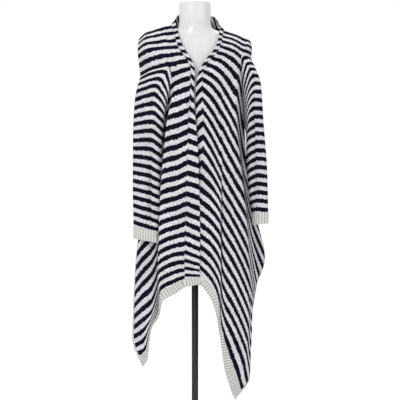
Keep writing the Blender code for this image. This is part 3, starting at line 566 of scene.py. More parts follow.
def new_group(name, inputs, outputs):
    """A node group: its tree, what it is given, and where its results are put."""
    tree = bpy.data.node_groups.new(name, "ShaderNodeTree")
    for label, kind in inputs:
        tree.interface.new_socket(label, in_out="INPUT", socket_type=kind)
    for label, kind in outputs:
        tree.interface.new_socket(label, in_out="OUTPUT", socket_type=kind)
    return tree, tree.nodes.new("NodeGroupInput").outputs, tree.nodes.new("NodeGroupOutput").inputs


NUMBER = "NodeSocketFloat"
STITCH_WIDTH = 4.0 * MM
STITCHES_PER_COURSE = 12
STITCH_LEAN = 0.11             # rise of a leg of the V, in courses, for one stitch of width


def stitch_group():
    """Knit stitches: legs of a V, one V a stitch wide and a twelfth of a course tall. Height is
    |sin| down the rows by 0.4 + 0.6 |sin| across the legs, and the lean moves a stripe's edge
    up and down with the V."""
    tree, given, put = new_group("stitches", [("Across", NUMBER), ("Course", NUMBER)],
                                 [("Height", NUMBER), ("Lean", NUMBER)])
    wale = maths(tree, "PINGPONG", maths(tree, "DIVIDE", given[0], STITCH_WIDTH), 0.5)
    lean = maths(tree, "MULTIPLY", wale, STITCH_LEAN)
    row = waves(tree, maths(tree, "ADD", given[1], lean), STITCHES_PER_COURSE * math.pi)
    leg = waves(tree, given[0], 2 * math.pi / STITCH_WIDTH)
    leg = maths(tree, "ADD", maths(tree, "MULTIPLY", leg, 0.6), 0.4)
    link(tree, maths(tree, "MULTIPLY", row, leg), put[0])
    link(tree, lean, put[1])
    return tree


WAVER = 0.16                   # how far a stripe's edge wanders, in courses, over 3 cm
RAGGED = 0.28                  # and over 7 mm
STRIPE_EDGE = 0.025            # half the width of the soft edge between the colours
# Painted shade: each yarn below is given as a shaded and a lit tone of its colour.
WHITE_SHADED_AND_LIT = ((0.44, 0.44, 0.49, 1.0), (0.92, 0.92, 0.94, 1.0))  # shaded and lit white
NAVY_SHADED_AND_LIT = ((0.001, 0.001, 0.005, 1.0), (0.009, 0.009, 0.024, 1.0))


def stripe_group():
    """Colour of the stripes: navy where the course is within half the navy share of a whole
    number, with a wavering edge, and fine painted shade in both colours."""
    tree, given, put = new_group("stripes", [("Across", NUMBER), ("Course", NUMBER), ("Lean", NUMBER),
                                             ("Navy share", NUMBER)],
                                 [("Color", "NodeSocketColor"), ("Mask", NUMBER)])
    waver = wandering(tree, noise(tree, scaled(tree, given[0], given[1], 33.0, 1.0), 1.1, 3.0), WAVER)
    ragged = wandering(tree, noise(tree, scaled(tree, given[0], given[1], 150.0, 3.0), 1.0, 1.0), RAGGED)
    waver = maths(tree, "ADD", waver, ragged)
    course = maths(tree, "ADD", maths(tree, "ADD", given[1], waver), given[2])
    off = maths(tree, "PINGPONG", course, 0.5)
    half = maths(tree, "MULTIPLY", given[3], 0.5)
    inner, outer = maths(tree, "SUBTRACT", half, STRIPE_EDGE), maths(tree, "ADD", half, STRIPE_EDGE)
    mask = ranged(tree, off, inner, outer, 1.0, 0.0)
    # Painted shade: a fine noise mixes each colour between its shaded and its lit tone.
    fine = noise(tree, scaled(tree, given[0], given[1], 250.0, 7.0), 1.0)
    painted_shade = ranged(tree, fine, 0.25, 0.68, 0.0, 1.0)
    white, navy = mixed(tree, painted_shade, *WHITE_SHADED_AND_LIT), mixed(tree, painted_shade, *NAVY_SHADED_AND_LIT)
    link(tree, mixed(tree, mask, white, navy), put[0])
    link(tree, mask, put[1])
    return tree


STITCHES, STRIPES = stitch_group(), stripe_group()


def cloth_shader(name, sheen, roughness):
    """An empty cloth material: its tree, its Principled shader, and u and v of the knit map."""
    material = bpy.data.materials.new(name)
    material.use_nodes = True
    tree = material.node_tree
    shader = tree.nodes["Principled BSDF"]
    shader.inputs["Roughness"].default_value = roughness
    shader.inputs["Sheen Weight"].default_value = sheen
    shader.inputs["Sheen Roughness"].default_value = 0.45
    shader.inputs["Specular IOR Level"].default_value = 0.05
    place_map = tree.nodes.new("ShaderNodeUVMap")
    place_map.uv_map = "knit"
    split = tree.nodes.new("ShaderNodeSeparateXYZ")
    tree.links.new(place_map.outputs[0], split.inputs[0])
    return material, tree, shader, split.outputs[0], split.outputs[1]


def grouped(tree, group, *values):
    """The outputs of a group given the values."""
    made = tree.nodes.new("ShaderNodeGroup")
    made.node_tree = group
    for value, socket in zip(values, made.inputs):
        link(tree, value, socket)
    return made.outputs


def bumped(tree, shader, height, distance, strength):
    """The height as a bump, distance in metres, on the shader."""
    made = tree.nodes.new("ShaderNodeBump")
    made.inputs["Strength"].default_value = strength
    made.inputs["Distance"].default_value = distance
    link(tree, height, made.inputs["Height"])
    tree.links.new(made.outputs[0], shader.inputs["Normal"])


def shaded(tree, colour, shade, shader):
    """The colour times a grey shade, put into the shader."""
    grey = combined(tree, shade, shade, shade)
    link(tree, mixed(tree, 1.0, colour, grey, "MULTIPLY"), shader.inputs["Base Color"])


def striped_knit(name, navy_share):
    """Striped knit: stripes under a stitch bump, with soft paler and darker areas."""
    material, tree, shader, u, v = cloth_shader(name, 0.015, 1.0)
    stitches = grouped(tree, STITCHES, u, v)
    stripes = grouped(tree, STRIPES, u, v, stitches[1], navy_share)
    # Paler and darker in soft patches some 10 cm across.
    soft_patches = noise(tree, scaled(tree, u, v, 9.0, 0.27), 1.0)
    shaded(tree, stripes[0], ranged(tree, soft_patches, 0.25, 0.75, 0.90, 1.04), shader)
    bumped(tree, shader, stitches[0], 0.0011, 0.55)
    return material


striped = striped_knit("striped knit", 0.54)

# Soft creases as the photograph shows them: pulls from the shoulders, and slack beside the
# long folds. u is measured from the front edge, or from the back's middle.
RIGHT_CREASES = (
    (40, 5.0, 120, 10.0, 12, 2.0), (20, 9.0, 60, 13.0, 9, 1.6), (30, 13.5, 75, 18.0, 11, -1.8),
    (18, 18.0, 70, 23.0, 12, 1.8), (60, 20.0, 95, 27.0, 12, 1.6), (110, 14.0, 150, 22.0, 14, 2.2),
)
LEFT_CREASES = (
    (20, 8.0, 90, 12.0, 10, 1.8), (15, 12.0, 70, 16.5, 10, -1.8), (20, 16.0, 60, 21.0, 10, 2.0),
    (15, 21.0, 66, 26.0, 11, 1.8), (120, 13.0, 150, 19.0, 12, 1.8), (118, 20.0, 168, 26.0, 13, -2.0),
)
BACK_CREASES = (
    (-120, 4.0, -30, 9.0, 16, 2.4), (110, 4.5, 26, 8.5, 15, 2.2), (-60, 9.0, 40, 12.0, 18, -1.8),
    (-30, 14.0, -70, 24.0, 16, 2.4), (40, 15.0, 64, 26.0, 17, 2.2), (8, 17.0, -4, 27.0, 14, -1.8),
)
LAST = -len(HEM_ROWS)

# Where the knit was pulled along, its stripes lie a part of a course away from the grid's
# rows. The rows of each table are courses, its columns shares of the way across the panel.
SHIFT_ACROSS = (0.0, 0.15, 0.35, 0.6, 0.8, 1.0)
RIGHT_SHIFT_COURSES = (0.0, 1.6, 3.0, 5.0, 12.0, 22.0, 27.0, 30.0)
RIGHT_SHIFT = ((0.60, 0.60, 0.60, 0.60, 0.60, 0.60), (0.40, 0.40, 0.40, 0.40, 0.40, 0.40),
               (-0.05, -0.10, -0.05, -0.05, -0.05, -0.05), (-0.15, -0.15, -0.20, -0.20, -0.20, -0.20),
               (0.03, -0.08, -0.05, 0.00, 0.00, 0.00), (0.00, -0.10, -0.20, -0.10, 0.00, -0.08),
               (-0.20, -0.10, -0.15, -0.25, -0.30, -0.12), (-0.25, -0.12, -0.15, -0.30, -0.35, -0.12))
LEFT_SHIFT_COURSES = (3.5, 5.0, 8.0, 12.0, 19.0, 23.0, 26.0, 30.0)
LEFT_SHIFT = ((0.00, 0.05, 0.10, 0.10, 0.10, 0.10), (0.00, 0.15, 0.15, 0.10, 0.05, 0.05),
              (0.00, 0.08, 0.10, 0.10, 0.10, 0.10), (0.08, -0.04, 0.05, -0.08, -0.05, -0.05),
              (0.00, 0.00, 0.00, 0.02, 0.10, 0.05), (0.24, 0.04, 0.04, -0.08, -0.25, -0.20),
              (0.30, 0.05, 0.00, -0.22, -0.55, -0.40), (0.10, 0.20, -0.20, -0.30, -0.30, -0.25))
BACK_SHIFT_COURSES = (0.0, 9.6, 12.0, 14.0, 17.0, 22.0, 30.0)
BACK_SHIFT = ((0.0, 0.0, 0.0, 0.0, 0.0, 0.0), (0.0, 0.0, 0.0, 0.0, 0.0, 0.0),
              (0.2, 0.1, 0.0, 0.0, 0.0, 0.9), (0.4, 0.2, 0.0, 0.0, 0.0, 1.6),
              (0.8, 0.4, 0.0, 0.0, 0.0, 1.8), (1.0, 0.5, 0.0, 0.0, 0.0, 1.4),
              (1.0, 0.5, 0.0, 0.0, 0.0, 0.8))


def shifted(knit, end, courses, table):
    """v moved by the table: its curve down the courses, then straight between its columns."""
    down = smooth(courses, np.array(table), knit[0, :, 1])
    share = np.arange(len(knit)) / end
    moved = np.array([np.interp(share, SHIFT_ACROSS, row) for row in down]).T
    return knit + np.stack([0 * moved, moved], axis=-1)


def kept_cells(sheet):
    """Numbers of the cells that are cloth, from the sheet's faces."""
    down = sheet.points.shape[1]
    first = sheet.faces[:, 0]
    return (first // down) * (down - 1) + first % down


def add_panel(name, sheet, rows, reference, seams, creases, shift=None):
    """A panel without its hem rows. Its creases fade out towards its seams and its ends."""
    knit = knit_coordinates(sheet.points, np.array(rows), reference)
    count = len(sheet.points)
    fades = fade(np.arange(count) - seams[0], 6) * fade(seams[1] - np.arange(count), 6)
    ends = fade(np.array(rows) - rows[0], 2.0) * fade(LAST_COURSE - np.array(rows), 1.5)
    height = crease_height(knit[..., 0], knit[..., 1], creases) * fades[:, None] * ends
    sheet.points = sheet.points + sheet.normals * height[..., None]
    keep = np.isin(np.arange((count - 1) * (len(rows) - 1)), kept_cells(sheet)).reshape(count - 1, -1)
    keep = keep[:, :LAST]
    painted = shifted(knit, seams[1], *shift) if shift else knit
    piece = shell(name, sheet.points[:, :LAST], sheet.normals[:, :LAST], WALL, painted[:, :LAST],
                  striped, keep)
    place(piece, name)
    return knit


knit_right = add_panel("front_right", right, right_rows, 0, (0, right_end), RIGHT_CREASES,
                       (RIGHT_SHIFT_COURSES, RIGHT_SHIFT))
knit_left = add_panel("front_left", left, left_rows, 0, (0, left_end), LEFT_CREASES,
                      (LEFT_SHIFT_COURSES, LEFT_SHIFT))
knit_back = add_panel("back", back, right_rows, len(back.points) // 2, (back_start, back_end), BACK_CREASES,
                      (BACK_SHIFT_COURSES, BACK_SHIFT))

# ---- the front bands -------------------------------------------------------------------------
# Narrow strips of doubled knit, sewn to the front edges from the shoulders to the hem. They are
# thicker in the middle than at their edges, and their stripes slant down towards the inner edge.
FOLDED_GAP = 0.5 * MM          # the same at seams that run through folds
BAND_SHARES = np.linspace(0, 1, 9)  # the grid's lines across a band
banded = striped_knit("striped band", 0.52)

# The front bands, as steps (x, y, z) from the panel's front edge to the band's inner edge.
RIGHT_BAND_COURSES = (0.0, 4.0, 7.2, 9.0, 13.0, 17.0, 20.0, 24.0, 28.9)
RIGHT_BAND = ((12, 5, 17), (14, -5, 11), (15, -6, -1), (15, -5, -2), (31, -6, -3),
              (43, -6, -7), (48, -6, -14), (53, -6, -20), (52, -6, 6))
LEFT_BAND_COURSES = (3.5, 7.0, 9.0, 10.5, 11.5, 13.0, 17.0, 18.5, 19.6, 20.6, 22.5, 28.9)
LEFT_BAND = ((-12, 5, 17), (-12, -5, 9), (-11, -5, 9), (-13, -3, 3), (-20, 1, -9),
             (-24, 5, -16), (-26, 8, -14), (-16, 9, -8), (-10, 10, -4), (-8, 10, -2),
             (-16, 10, 0), (-20, 10, 0))


def off_seam(seam, beyond, normals, ring=False):
    """The seam's points moved by the gap towards the points beyond it, square to the seam
    and to the normals there."""
    if ring:
        ahead, behind = np.roll(seam, -1, axis=0), np.roll(seam, 1, axis=0)
    else:
        ahead, behind = np.concatenate([seam[1:], seam[-1:]]), np.concatenate([seam[:1], seam[:-1]])
    across = unit(np.cross(ahead - behind, normals))
    if ((beyond - seam) * across).sum() < 0:
        across = -across
    return seam + across * FOLDED_GAP


def band_sheet(panel, edge, row_courses, band_courses, steps, outward):
    """A band from the panel's front edge, by the steps of its table, to its own inner edge."""
    seam = panel.points[edge]
    step = smooth(band_courses, np.array(steps, float) * MM, row_courses)
    sheet = Sheet(seam + step * BAND_SHARES[:, None, None], outward)
    sheet.normals[0] = panel.normals[edge]
    return sheet


def rolled(count):
    """Wall depth over a band's lines: wall + 1.0 mm sqrt(sin(pi s))."""
    return WALL + 1.0 * MM * np.sqrt(np.sin(np.pi * np.linspace(0, 1, count)).clip(0))


def add_band(name, sheet, rows, phase):
    """The stripes slant most beside the neckline: v = course + phase + slant share."""
    points = sheet.points[:, :LAST].copy()
    points[0] = off_seam(points[0], points[1], sheet.normals[0, :LAST])
    shares = np.linspace(0, 1, len(points))[:, None]
    courses = np.array(rows[:LAST])[None]
    slant = np.interp(courses, (8, 13, 18), (-0.45, -0.30, -0.10))
    coordinates = knit_coordinates(points, courses + phase * -slant + slant * shares)
    depth = rolled(len(points))[:, None]
    piece = shell(name, points, sheet.normals[:, :LAST], depth, coordinates, banded)
    place(piece, name)


right_band = band_sheet(right, 0, right_rows, RIGHT_BAND_COURSES, RIGHT_BAND, -1)
left_band = band_sheet(left, 0, left_rows, LEFT_BAND_COURSES, LEFT_BAND, 1)
add_band("band_front_right", right_band, right_rows, 0.6)
add_band("band_front_left", left_band, left_rows, 0.6)

# ---- the hem ribs ----------------------------------------------------------------------------
# An ivory rib below the last stripe of each panel, and across the foot of the right front
# band. Each rib is a round ridge on the outside of a thin plain wall.
RIB_WALL = 2.6 * MM            # thickness of the ribbed borders, in their grooves
RIB_HEIGHT = 1.2 * MM          # how far a rib stands out of its groove
RIB_PITCH = 10.0 * MM          # from one rib to the next
HEM_GRID_ROWS = 24
RIB_START = 0.3                # how much of a rib stands where it meets the stripes


def evenly(points, normals, coordinates, step):
    """The grid's columns taken again about a step apart along the rows' mean length."""
    lengths = np.linalg.norm(np.diff(points, axis=0), axis=-1).mean(axis=1)
    along = np.concatenate([[0], np.cumsum(lengths)])
    places = np.linspace(0, along[-1], max(2, round(along[-1] / step)) + 1)
    where = np.interp(places, along, np.arange(len(along)))
    low = np.minimum(where.astype(int), len(along) - 2)
    share = (where - low)[:, None, None]
    taken = [grid[low] + (grid[low + 1] - grid[low]) * share for grid in (points, normals, coordinates)]
    return taken[0], unit(taken[1]), taken[2], places


def rib_depth(places, pitch):
    """Round ribs: wall + height (0.5 + 0.5 cos(2 pi s / pitch)) at length s along the rib row."""
    return RIB_WALL + RIB_HEIGHT * (0.5 + 0.5 * np.cos(2 * np.pi * places / pitch))


def more_rows(grid, count):
    """The grid with its rows taken again at count even places down it."""
    at = np.linspace(0, grid.shape[1] - 1, count)
    low = np.minimum(at.astype(int), grid.shape[1] - 2)
    return grid[:, low] + (grid[:, low + 1] - grid[:, low]) * (at - low)[None, :, None]


def along_edge(points):
    """Length along the lower edge to its point nearest each point: the ribs stand square to
    the edge however steeply it hangs."""
    edge = points[:, -1]
    lengths = np.concatenate([[0], np.cumsum(np.linalg.norm(np.diff(edge, axis=0), axis=1))])
    nearest = np.empty(points.shape[:2], int)
    for row in range(points.shape[1]):
        nearest[:, row] = ((points[:, row][:, None] - edge[None]) ** 2).sum(axis=-1).argmin(axis=1)
    return lengths[nearest]


IVORY_YARN = ((0.58, 0.58, 0.555, 1.0), (0.84, 0.84, 0.81, 1.0))


def rib_knit(name, pitch):
    """Ivory rib under a stitch bump, with painted shade in the grooves between the ribs. A
    crest is 0.5 + 0.5 cos(2 pi u / pitch)."""
    material, tree, shader, u, v = cloth_shader(name, 0.015, 1.0)
    turn = maths(tree, "MULTIPLY", u, 2 * math.pi / pitch)
    crest = maths(tree, "ADD", maths(tree, "MULTIPLY", maths(tree, "COSINE", turn), 0.5), 0.5)
    pale = mixed(tree, noise(tree, scaled(tree, u, v, 420.0, 12.0), 1.0), *IVORY_YARN)
    # Painted shade: the colour falls to 0.58 of itself in the grooves between the ribs.
    shaded(tree, pale, ranged(tree, crest, 0.0, 0.55, 0.58, 1.0), shader)
    stitches = grouped(tree, STITCHES, u, v)
    bumped(tree, shader, stitches[0], 0.0009, 0.5)
    return material


rib = rib_knit("ivory rib", RIB_PITCH)


def add_hem(name, sheet, knit, start, end, before=None):
    """The panel's rows below its last stripe, taken again as a fine even grid and ribbed by the
    length along the hem's lower edge. before is the band whose foot comes first in the row."""
    part = slice(LAST - 1, None)
    points, normals, coordinates = (g[start: end + 1, part] for g in (sheet.points, sheet.normals, knit))
    if before is not None:
        band_knit = knit_coordinates(before.points, knit[0, :, 1])[:, part]
        points = np.concatenate([before.points[:0:-1, part], points])
        normals = np.concatenate([before.normals[:0:-1, part], normals])
        coordinates = np.concatenate([band_knit[:0:-1], coordinates])
    points, normals, coordinates, _ = evenly(points, normals, coordinates, RIB_PITCH / 6)
    points[:, 0] = off_seam(points[:, 0], points[:, 1], normals[:, 0])
    points, normals, coordinates = (more_rows(grid, HEM_GRID_ROWS) for grid in (points, normals, coordinates))
    coordinates[..., 0] = along_edge(points)
    depth = rib_depth(coordinates[..., 0], RIB_PITCH)
    depth[:, 0] = WALL + (depth[:, 0] - WALL) * RIB_START
    piece = shell(name, points, normals, depth, coordinates, rib)
    place(piece, name)


add_hem("hem_front_right", right, knit_right, 0, right_end, before=right_band)
add_hem("hem_front_left", left, knit_left, 0, left_end)
add_hem("hem_back", back, knit_back, back_start, back_end)

# ---- the side edgings ------------------------------------------------------------------------
# The hem's ivory rib carried on up the open side edges of the points, 9 mm wide and narrowing to
# almost nothing at the top of the vents.
SIDE_RIB = 9.0 * MM            # width of the narrow ribbed edging on the side edges
EDGING_TAPER = 5.6             # courses over which it comes to its full width
EDGING_SHARES = (0, 0.35, 0.7, 1.0)  # the grid's lines across it


def add_edging(name, sheet, edge, inward, first_row, rows):
    """A ribbed strip off the panel's side edge: p = edge + away width share, where the width
    grows from the top of the vent and away points out of the panel."""
    rim, normals = sheet.points[edge, first_row:], sheet.normals[edge, first_row:]
    away = unit(rim - sheet.points[edge + inward, first_row:])
    courses = np.array(rows[first_row:])
    width = np.clip((courses - courses[0]) / EDGING_TAPER, 0.05, 1)[:, None] * SIDE_RIB
    seam = off_seam(rim, rim + away, normals)
    points = np.stack([seam + away * width * share for share in EDGING_SHARES], axis=1)
    normals = np.repeat(normals[:, None], len(EDGING_SHARES), axis=1)
    blank = np.zeros(points.shape[:2] + (2,))
    points, normals, blank, places = evenly(points, normals, blank, RIB_PITCH / 6)
    blank[..., 0] = places[:, None]
    blank[..., 1] = np.linspace(0, 0.3, len(EDGING_SHARES))
    depth = rib_depth(places, RIB_PITCH)[:, None] - RIB_HEIGHT / 2
    piece = shell(name, points, normals, depth, blank, rib)
    place(piece, name)


right_vent, left_vent = right_rows.index(RIGHT_VENT), left_rows.index(LEFT_VENT)
back_left_vent = right_rows.index(LEFT_VENT)
add_edging("edging_front_right", right, right_end, -1, right_vent, right_rows)
add_edging("edging_front_left", left, left_end, -1, left_vent, left_rows)
add_edging("edging_back_right", back, back_start, 1, right_vent, right_rows)
add_edging("edging_back_left", back, back_end, -1, back_left_vent, right_rows)

# ---- the neck band ---------------------------------------------------------------------------
# The same doubled strip, sewn to the back's top edge between the shoulders, where it stands up
# behind the neck and joins the two front bands.

# The step (x, y, z) from the back's top edge to the band's own.
NECK_BAND = {
    "right shoulder": (12, 5, 17),
    "right of nape": (-2, -6, 42),
    "nape": (0, -8, 46),
    "left of nape": (2, -6, 42),
    "left shoulder": (-12, 5, 17),
}
NECK_HEIGHT = 0.04             # of the band, in metres, for its stitches
NECK_SLANT = 0.8               # courses that a stripe slants over the band

neck_first, neck_last = back_start + COLUMNS_PER_LINE, back_end - COLUMNS_PER_LINE
neck_seam = back.points[neck_first: neck_last + 1, 0]
neck_places = np.linspace(0, len(NECK_BAND) - 1, len(neck_seam))
neck_table = np.array(list(NECK_BAND.values()), float) * MM
neck_step = smooth(np.arange(len(NECK_BAND)), neck_table, neck_places)
neck = Sheet(neck_seam[:, None] + neck_step[:, None] * BAND_SHARES[None, :, None], -1)
neck.normals[:, 0] = unit(neck.normals[:, 0] + back.normals[neck_first: neck_last + 1, 0])
neck.points[:, 0] = off_seam(neck_seam, neck.points[:, 1], neck.normals[:, 0])
neck_along = across_lengths(neck.points).mean(axis=1)
neck_u = NECK_HEIGHT * BAND_SHARES[None, :]
neck_v = neck_along[:, None] / (COURSE_MM * MM) + NECK_SLANT * BAND_SHARES[None, :]
neck_knit = np.stack(np.broadcast_arrays(neck_u, neck_v), axis=-1)
neck_depth = rolled(len(BAND_SHARES))[None, :]
neck_band = shell("band_neck", neck.points, neck.normals, neck_depth, neck_knit, banded)
place(neck_band, "band_neck")

# ---- the sleeves: the knit -------------------------------------------------------------------
# Their stripes lie level where the tubes hang free, rise to the crease down the front and follow
# the armhole seam above it. Empty, the tubes fold in along that crease.
RIGHT_FIRST_NAVY = 1.226       # height of the first navy stripe at the outer side, metres
LEFT_FIRST_NAVY = 1.102
SLEEVE_STRIPES = 0.0296        # from one navy stripe to the next, metres
SEAM_REACH = 0.11              # how far down the stripes still follow the armhole, metres
SLEEVE_COURSES = 20            # the rows that the creases' tables count
RIGHT_SLEEVE_CREASES = (
    (60, 3, 130, 8, 13, 3.0), (90, 6, 150, 11, 12, -2.6), (70, 9, 140, 13, 12, 2.8),
    (60, 12, 120, 15, 10, -2.2), (80, 15, 150, 18, 11, 2.4), (250, 5, 330, 12, 15, 2.4),
)
LEFT_SLEEVE_CREASES = (
    (30, 4, 90, 8, 11, 2.6), (50, 7, 110, 11, 11, -2.4), (30, 10, 100, 14, 11, 2.4),
    (50, 14, 110, 17, 10, -2.0), (200, 5, 260, 12, 14, 2.2),
)


def sleeve_courses(points, first_navy, pitch, rise, seam_reach):
    """v = (first navy height + rise - z) / pitch, blended near the armhole with the length
    down from the seam, so that the top stripes run along it."""
    down = np.concatenate([np.zeros((len(points), 1)),
                           np.cumsum(np.linalg.norm(np.diff(points, axis=1), axis=-1), axis=1)], axis=1)
    level = (first_navy + rise(points) - points[..., 2]) / pitch
    from_seam = level[:, :1] * 0.35 + level[:, :1].min() * 0.65 + down / pitch
    near = 1 - fade(down, seam_reach)
    return level + (from_seam - level) * near


def add_sleeve(name, sheet, courses, creases, hollow):
    """The sleeve's rings made a wall: p = ring point + normal (creases - hollow), the hollow on
    the front only, and both faded out at the armhole and the wrist."""
    points = np.concatenate([sheet.points, sheet.points[:1]])
    normals = np.concatenate([sheet.normals, sheet.normals[:1]])
    points[:-1, 0] = off_seam(points[:-1, 0], points[:-1, 1], normals[:-1, 0], ring=True)
    points[-1] = points[0]
    courses = np.concatenate([courses, courses[:1]])
    knit = np.stack([across_lengths(points), courses], axis=-1)
    rows = np.linspace(0, SLEEVE_COURSES, points.shape[1])[None] + 0 * knit[..., 0]
    height = crease_height(knit[..., 0], rows, creases)
    height -= hollow(points) * fade(-normals[..., 1], 0.5)
    height = height * fade(rows, 1.5) * fade(SLEEVE_COURSES - rows, 1.0)
    height[-1] = height[0] = 0.5 * (height[0] + height[-1])
    points = points + normals * height[..., None]
    place(shell(name, points, normals, WALL, knit, striped), name)


def beyond(distance):
    """The distance past a line, rounded off over 6 mm: w ln(1 + exp(d / w))."""
    return 0.006 * np.logaddexp(0, distance / 0.006)


def right_rise(p):
    """Height of a stripe above where it starts at the sleeve's outer side: it climbs to the
    crease, level lower down, and falls beyond it."""
    x, z = p[..., 0], p[..., 2]
    past = beyond(x - np.interp(z, (0.84, 0.92, 1.26, 1.31), (-0.158, -0.158, -0.134, -0.112)))
    climb = np.interp(z, (0.78, 0.95, 1.06, 1.24), (-0.30, -0.20, 0.05, 0.35))
    fall = np.interp(z, (0.78, 0.92, 1.08, 1.24), (0.35, 0.55, 0.9, 1.3))
    return climb * (x + 0.194) - (fall + climb) * past


def left_rise(p):
    """The same on the other sleeve: steep on the inner side of its crease."""
    x, z = p[..., 0], p[..., 2]
    past = beyond(np.interp(z, (0.83, 1.10, 1.29), (0.211, 0.205, 0.186)) - x)
    fall = np.interp(z, (0.83, 1.0, 1.20), (0.9, 1.3, 1.7))
    return -0.15 * (x - 0.225) - (fall + 0.15) * past


def right_hollow(p):
    """Depth of the crease down the front of the sleeve: a furrow along a line in x over z."""
    x, z = p[..., 0], p[..., 2]
    line_x = np.interp(z, (0.70, 0.92, 1.10), (-0.160, -0.159, -0.150))
    furrow = 15 * MM * np.exp(-(((x - line_x) / 0.007) ** 2))
    return furrow * fade(z - 0.70, 0.08) * fade(1.12 - z, 0.20)


def left_hollow(p):
    """The same on the other sleeve, a little narrower."""
    x, z = p[..., 0], p[..., 2]
    line_x = np.interp(z, (0.80, 1.00, 1.20), (0.213, 0.208, 0.200))
    furrow = 14 * MM * np.exp(-(((x - line_x) / 0.006) ** 2))
    return furrow * fade(z - 0.81, 0.06) * fade(1.22 - z, 0.15)


right_stripes = sleeve_courses(sleeve_right.points, RIGHT_FIRST_NAVY, SLEEVE_STRIPES, right_rise, SEAM_REACH)
left_stripes = sleeve_courses(sleeve_left.points, LEFT_FIRST_NAVY, SLEEVE_STRIPES, left_rise, SEAM_REACH)
add_sleeve("sleeve_right", sleeve_right, right_stripes, RIGHT_SLEEVE_CREASES, right_hollow)
add_sleeve("sleeve_left", sleeve_left, left_stripes, LEFT_SLEEVE_CREASES, left_hollow)

# ---- the cuffs -------------------------------------------------------------------------------
# Ivory rib at the wrists, hanging straight down from the ends of the sleeves.
# The ribs run down the cuff, a whole number of them round it.
SEAM_GAP = 0.3 * MM            # between neighbouring pieces
CUFF = 42.0 * MM               # height of the cuff rib


def add_cuff(name, sheet):
    """The cuff hangs straight on from the wrist ring, with round ribs down it."""
    wrist = np.concatenate([sheet.points[:, -1], sheet.points[:1, -1]])
    out = np.concatenate([sheet.normals[:, -1], sheet.normals[:1, -1]])
    drops = -np.linspace(SEAM_GAP, CUFF, 7)
    points = wrist[:, None] + np.stack([0 * drops, 0 * drops, drops], axis=-1)[None]
    normals = np.repeat(out[:, None], len(drops), axis=1)
    knit = np.zeros(points.shape[:2] + (2,))
    points, normals, knit, places = evenly(points, normals, knit, RIB_PITCH / 8)
    ribs = max(1, round(places[-1] / RIB_PITCH))
    places = places / places[-1] * ribs * RIB_PITCH
    knit[..., 0], knit[..., 1] = places[:, None], np.linspace(0, 1.4, len(drops))
    piece = shell(name, points, normals, rib_depth(places, RIB_PITCH)[:, None], knit, rib)
    place(piece, name)


add_cuff("cuff_right", sleeve_right)
add_cuff("cuff_left", sleeve_left)

# ---- the dress form --------------------------------------------------------------------------
# A limbless moulded torso, glossy white. It stands inside the garment and
# carries it on its shoulders, and its neck ends in a flat top with a rounded rim.

# The form's rings: height, half width, half depth in the middle and towards the sides, and
# how far the middle lies back.
FORM_RINGS = {
    "neck top": (1547, 56, 56, 56, 4),
    "neck": (1490, 57, 55, 55, 6),
    "neck root": (1460, 62, 52, 44, 8),
    "slope": (1444, 92, 52, 28, 8),
    "shoulder": (1426, 134, 54, 30, 8),
    "shoulder cap": (1402, 162, 60, 40, 6),
    "upper chest": (1380, 172, 67, 52, 4),
    "arm stump": (1350, 178, 75, 66, 2),
    "armpit": (1290, 158, 91, 86, 2),
    "chest": (1230, 130, 100, 96, 2),
    "bust": (1180, 118, 105, 102, 0),
    "ribs": (1110, 106, 98, 96, 2),
    "waist": (1030, 96, 86, 84, 6),
    "belly": (940, 98, 90, 88, 8),
    "hips": (840, 104, 96, 94, 10),
    "seat": (770, 102, 94, 92, 10),
    "rounding": (735, 90, 82, 80, 10),
    "underside": (724, 66, 58, 56, 10),
}
FORM_SIDES = 96
NECK_RIM = 0.965               # the flat top of the neck is this share of the neck's width
RIM_DROP = 2.0 * MM            # how far its rim is rounded down
RIM_ANGLE = 40                 # degrees, past which an edge of the form or stand is drawn sharp
GLOSS_WHITES = ((0.74, 0.725, 0.73, 1.0), (0.83, 0.82, 0.82, 1.0))


def add_tube(name, rings, material):
    """Closed rings of points, joined and capped at both ends; rings run downwards."""
    count, sides = rings.shape[:2]
    here = np.arange(count * sides).reshape(count, sides)
    after = np.roll(here, -1, axis=1)
    faces = np.stack([here[:-1], here[1:], after[1:], after[:-1]], axis=-1).reshape(-1, 4).tolist()
    faces += [here[0].tolist(), here[-1, ::-1].tolist()]
    mesh = bpy.data.meshes.new(name)
    mesh.from_pydata(rings.reshape(-1, 3).tolist(), [], faces)
    mesh.shade_smooth()
    mesh.set_sharp_from_angle(angle=math.radians(RIM_ANGLE))
    mesh.materials.append(material)
    piece = bpy.data.objects.new(name + "_skin", mesh)
    bpy.context.scene.collection.objects.link(piece)
    return piece


def hard_material(name):
    """A material, its tree, its shader and the object coordinates."""
    material = bpy.data.materials.new(name)
    material.use_nodes = True
    tree = material.node_tree
    at = tree.nodes.new("ShaderNodeTexCoord").outputs["Object"]
    return material, tree, tree.nodes["Principled BSDF"], at


gloss, gloss_tree, gloss_shader, form_place = hard_material("gloss white")
cloudy = noise(gloss_tree, form_place, 7.0, 3.0)
smears = ranged(gloss_tree, noise(gloss_tree, form_place, 40.0, 4.0), 0.3, 0.7, 0.20, 0.30)
link(gloss_tree, mixed(gloss_tree, cloudy, *GLOSS_WHITES), gloss_shader.inputs["Base Color"])
link(gloss_tree, smears, gloss_shader.inputs["Roughness"])
gloss_shader.inputs["Coat Weight"].default_value = 0.6
gloss_shader.inputs["Coat Roughness"].default_value = 0.08
bumped(gloss_tree, gloss_shader, noise(gloss_tree, form_place, 16.0, 2.0), 0.0006, 0.25)

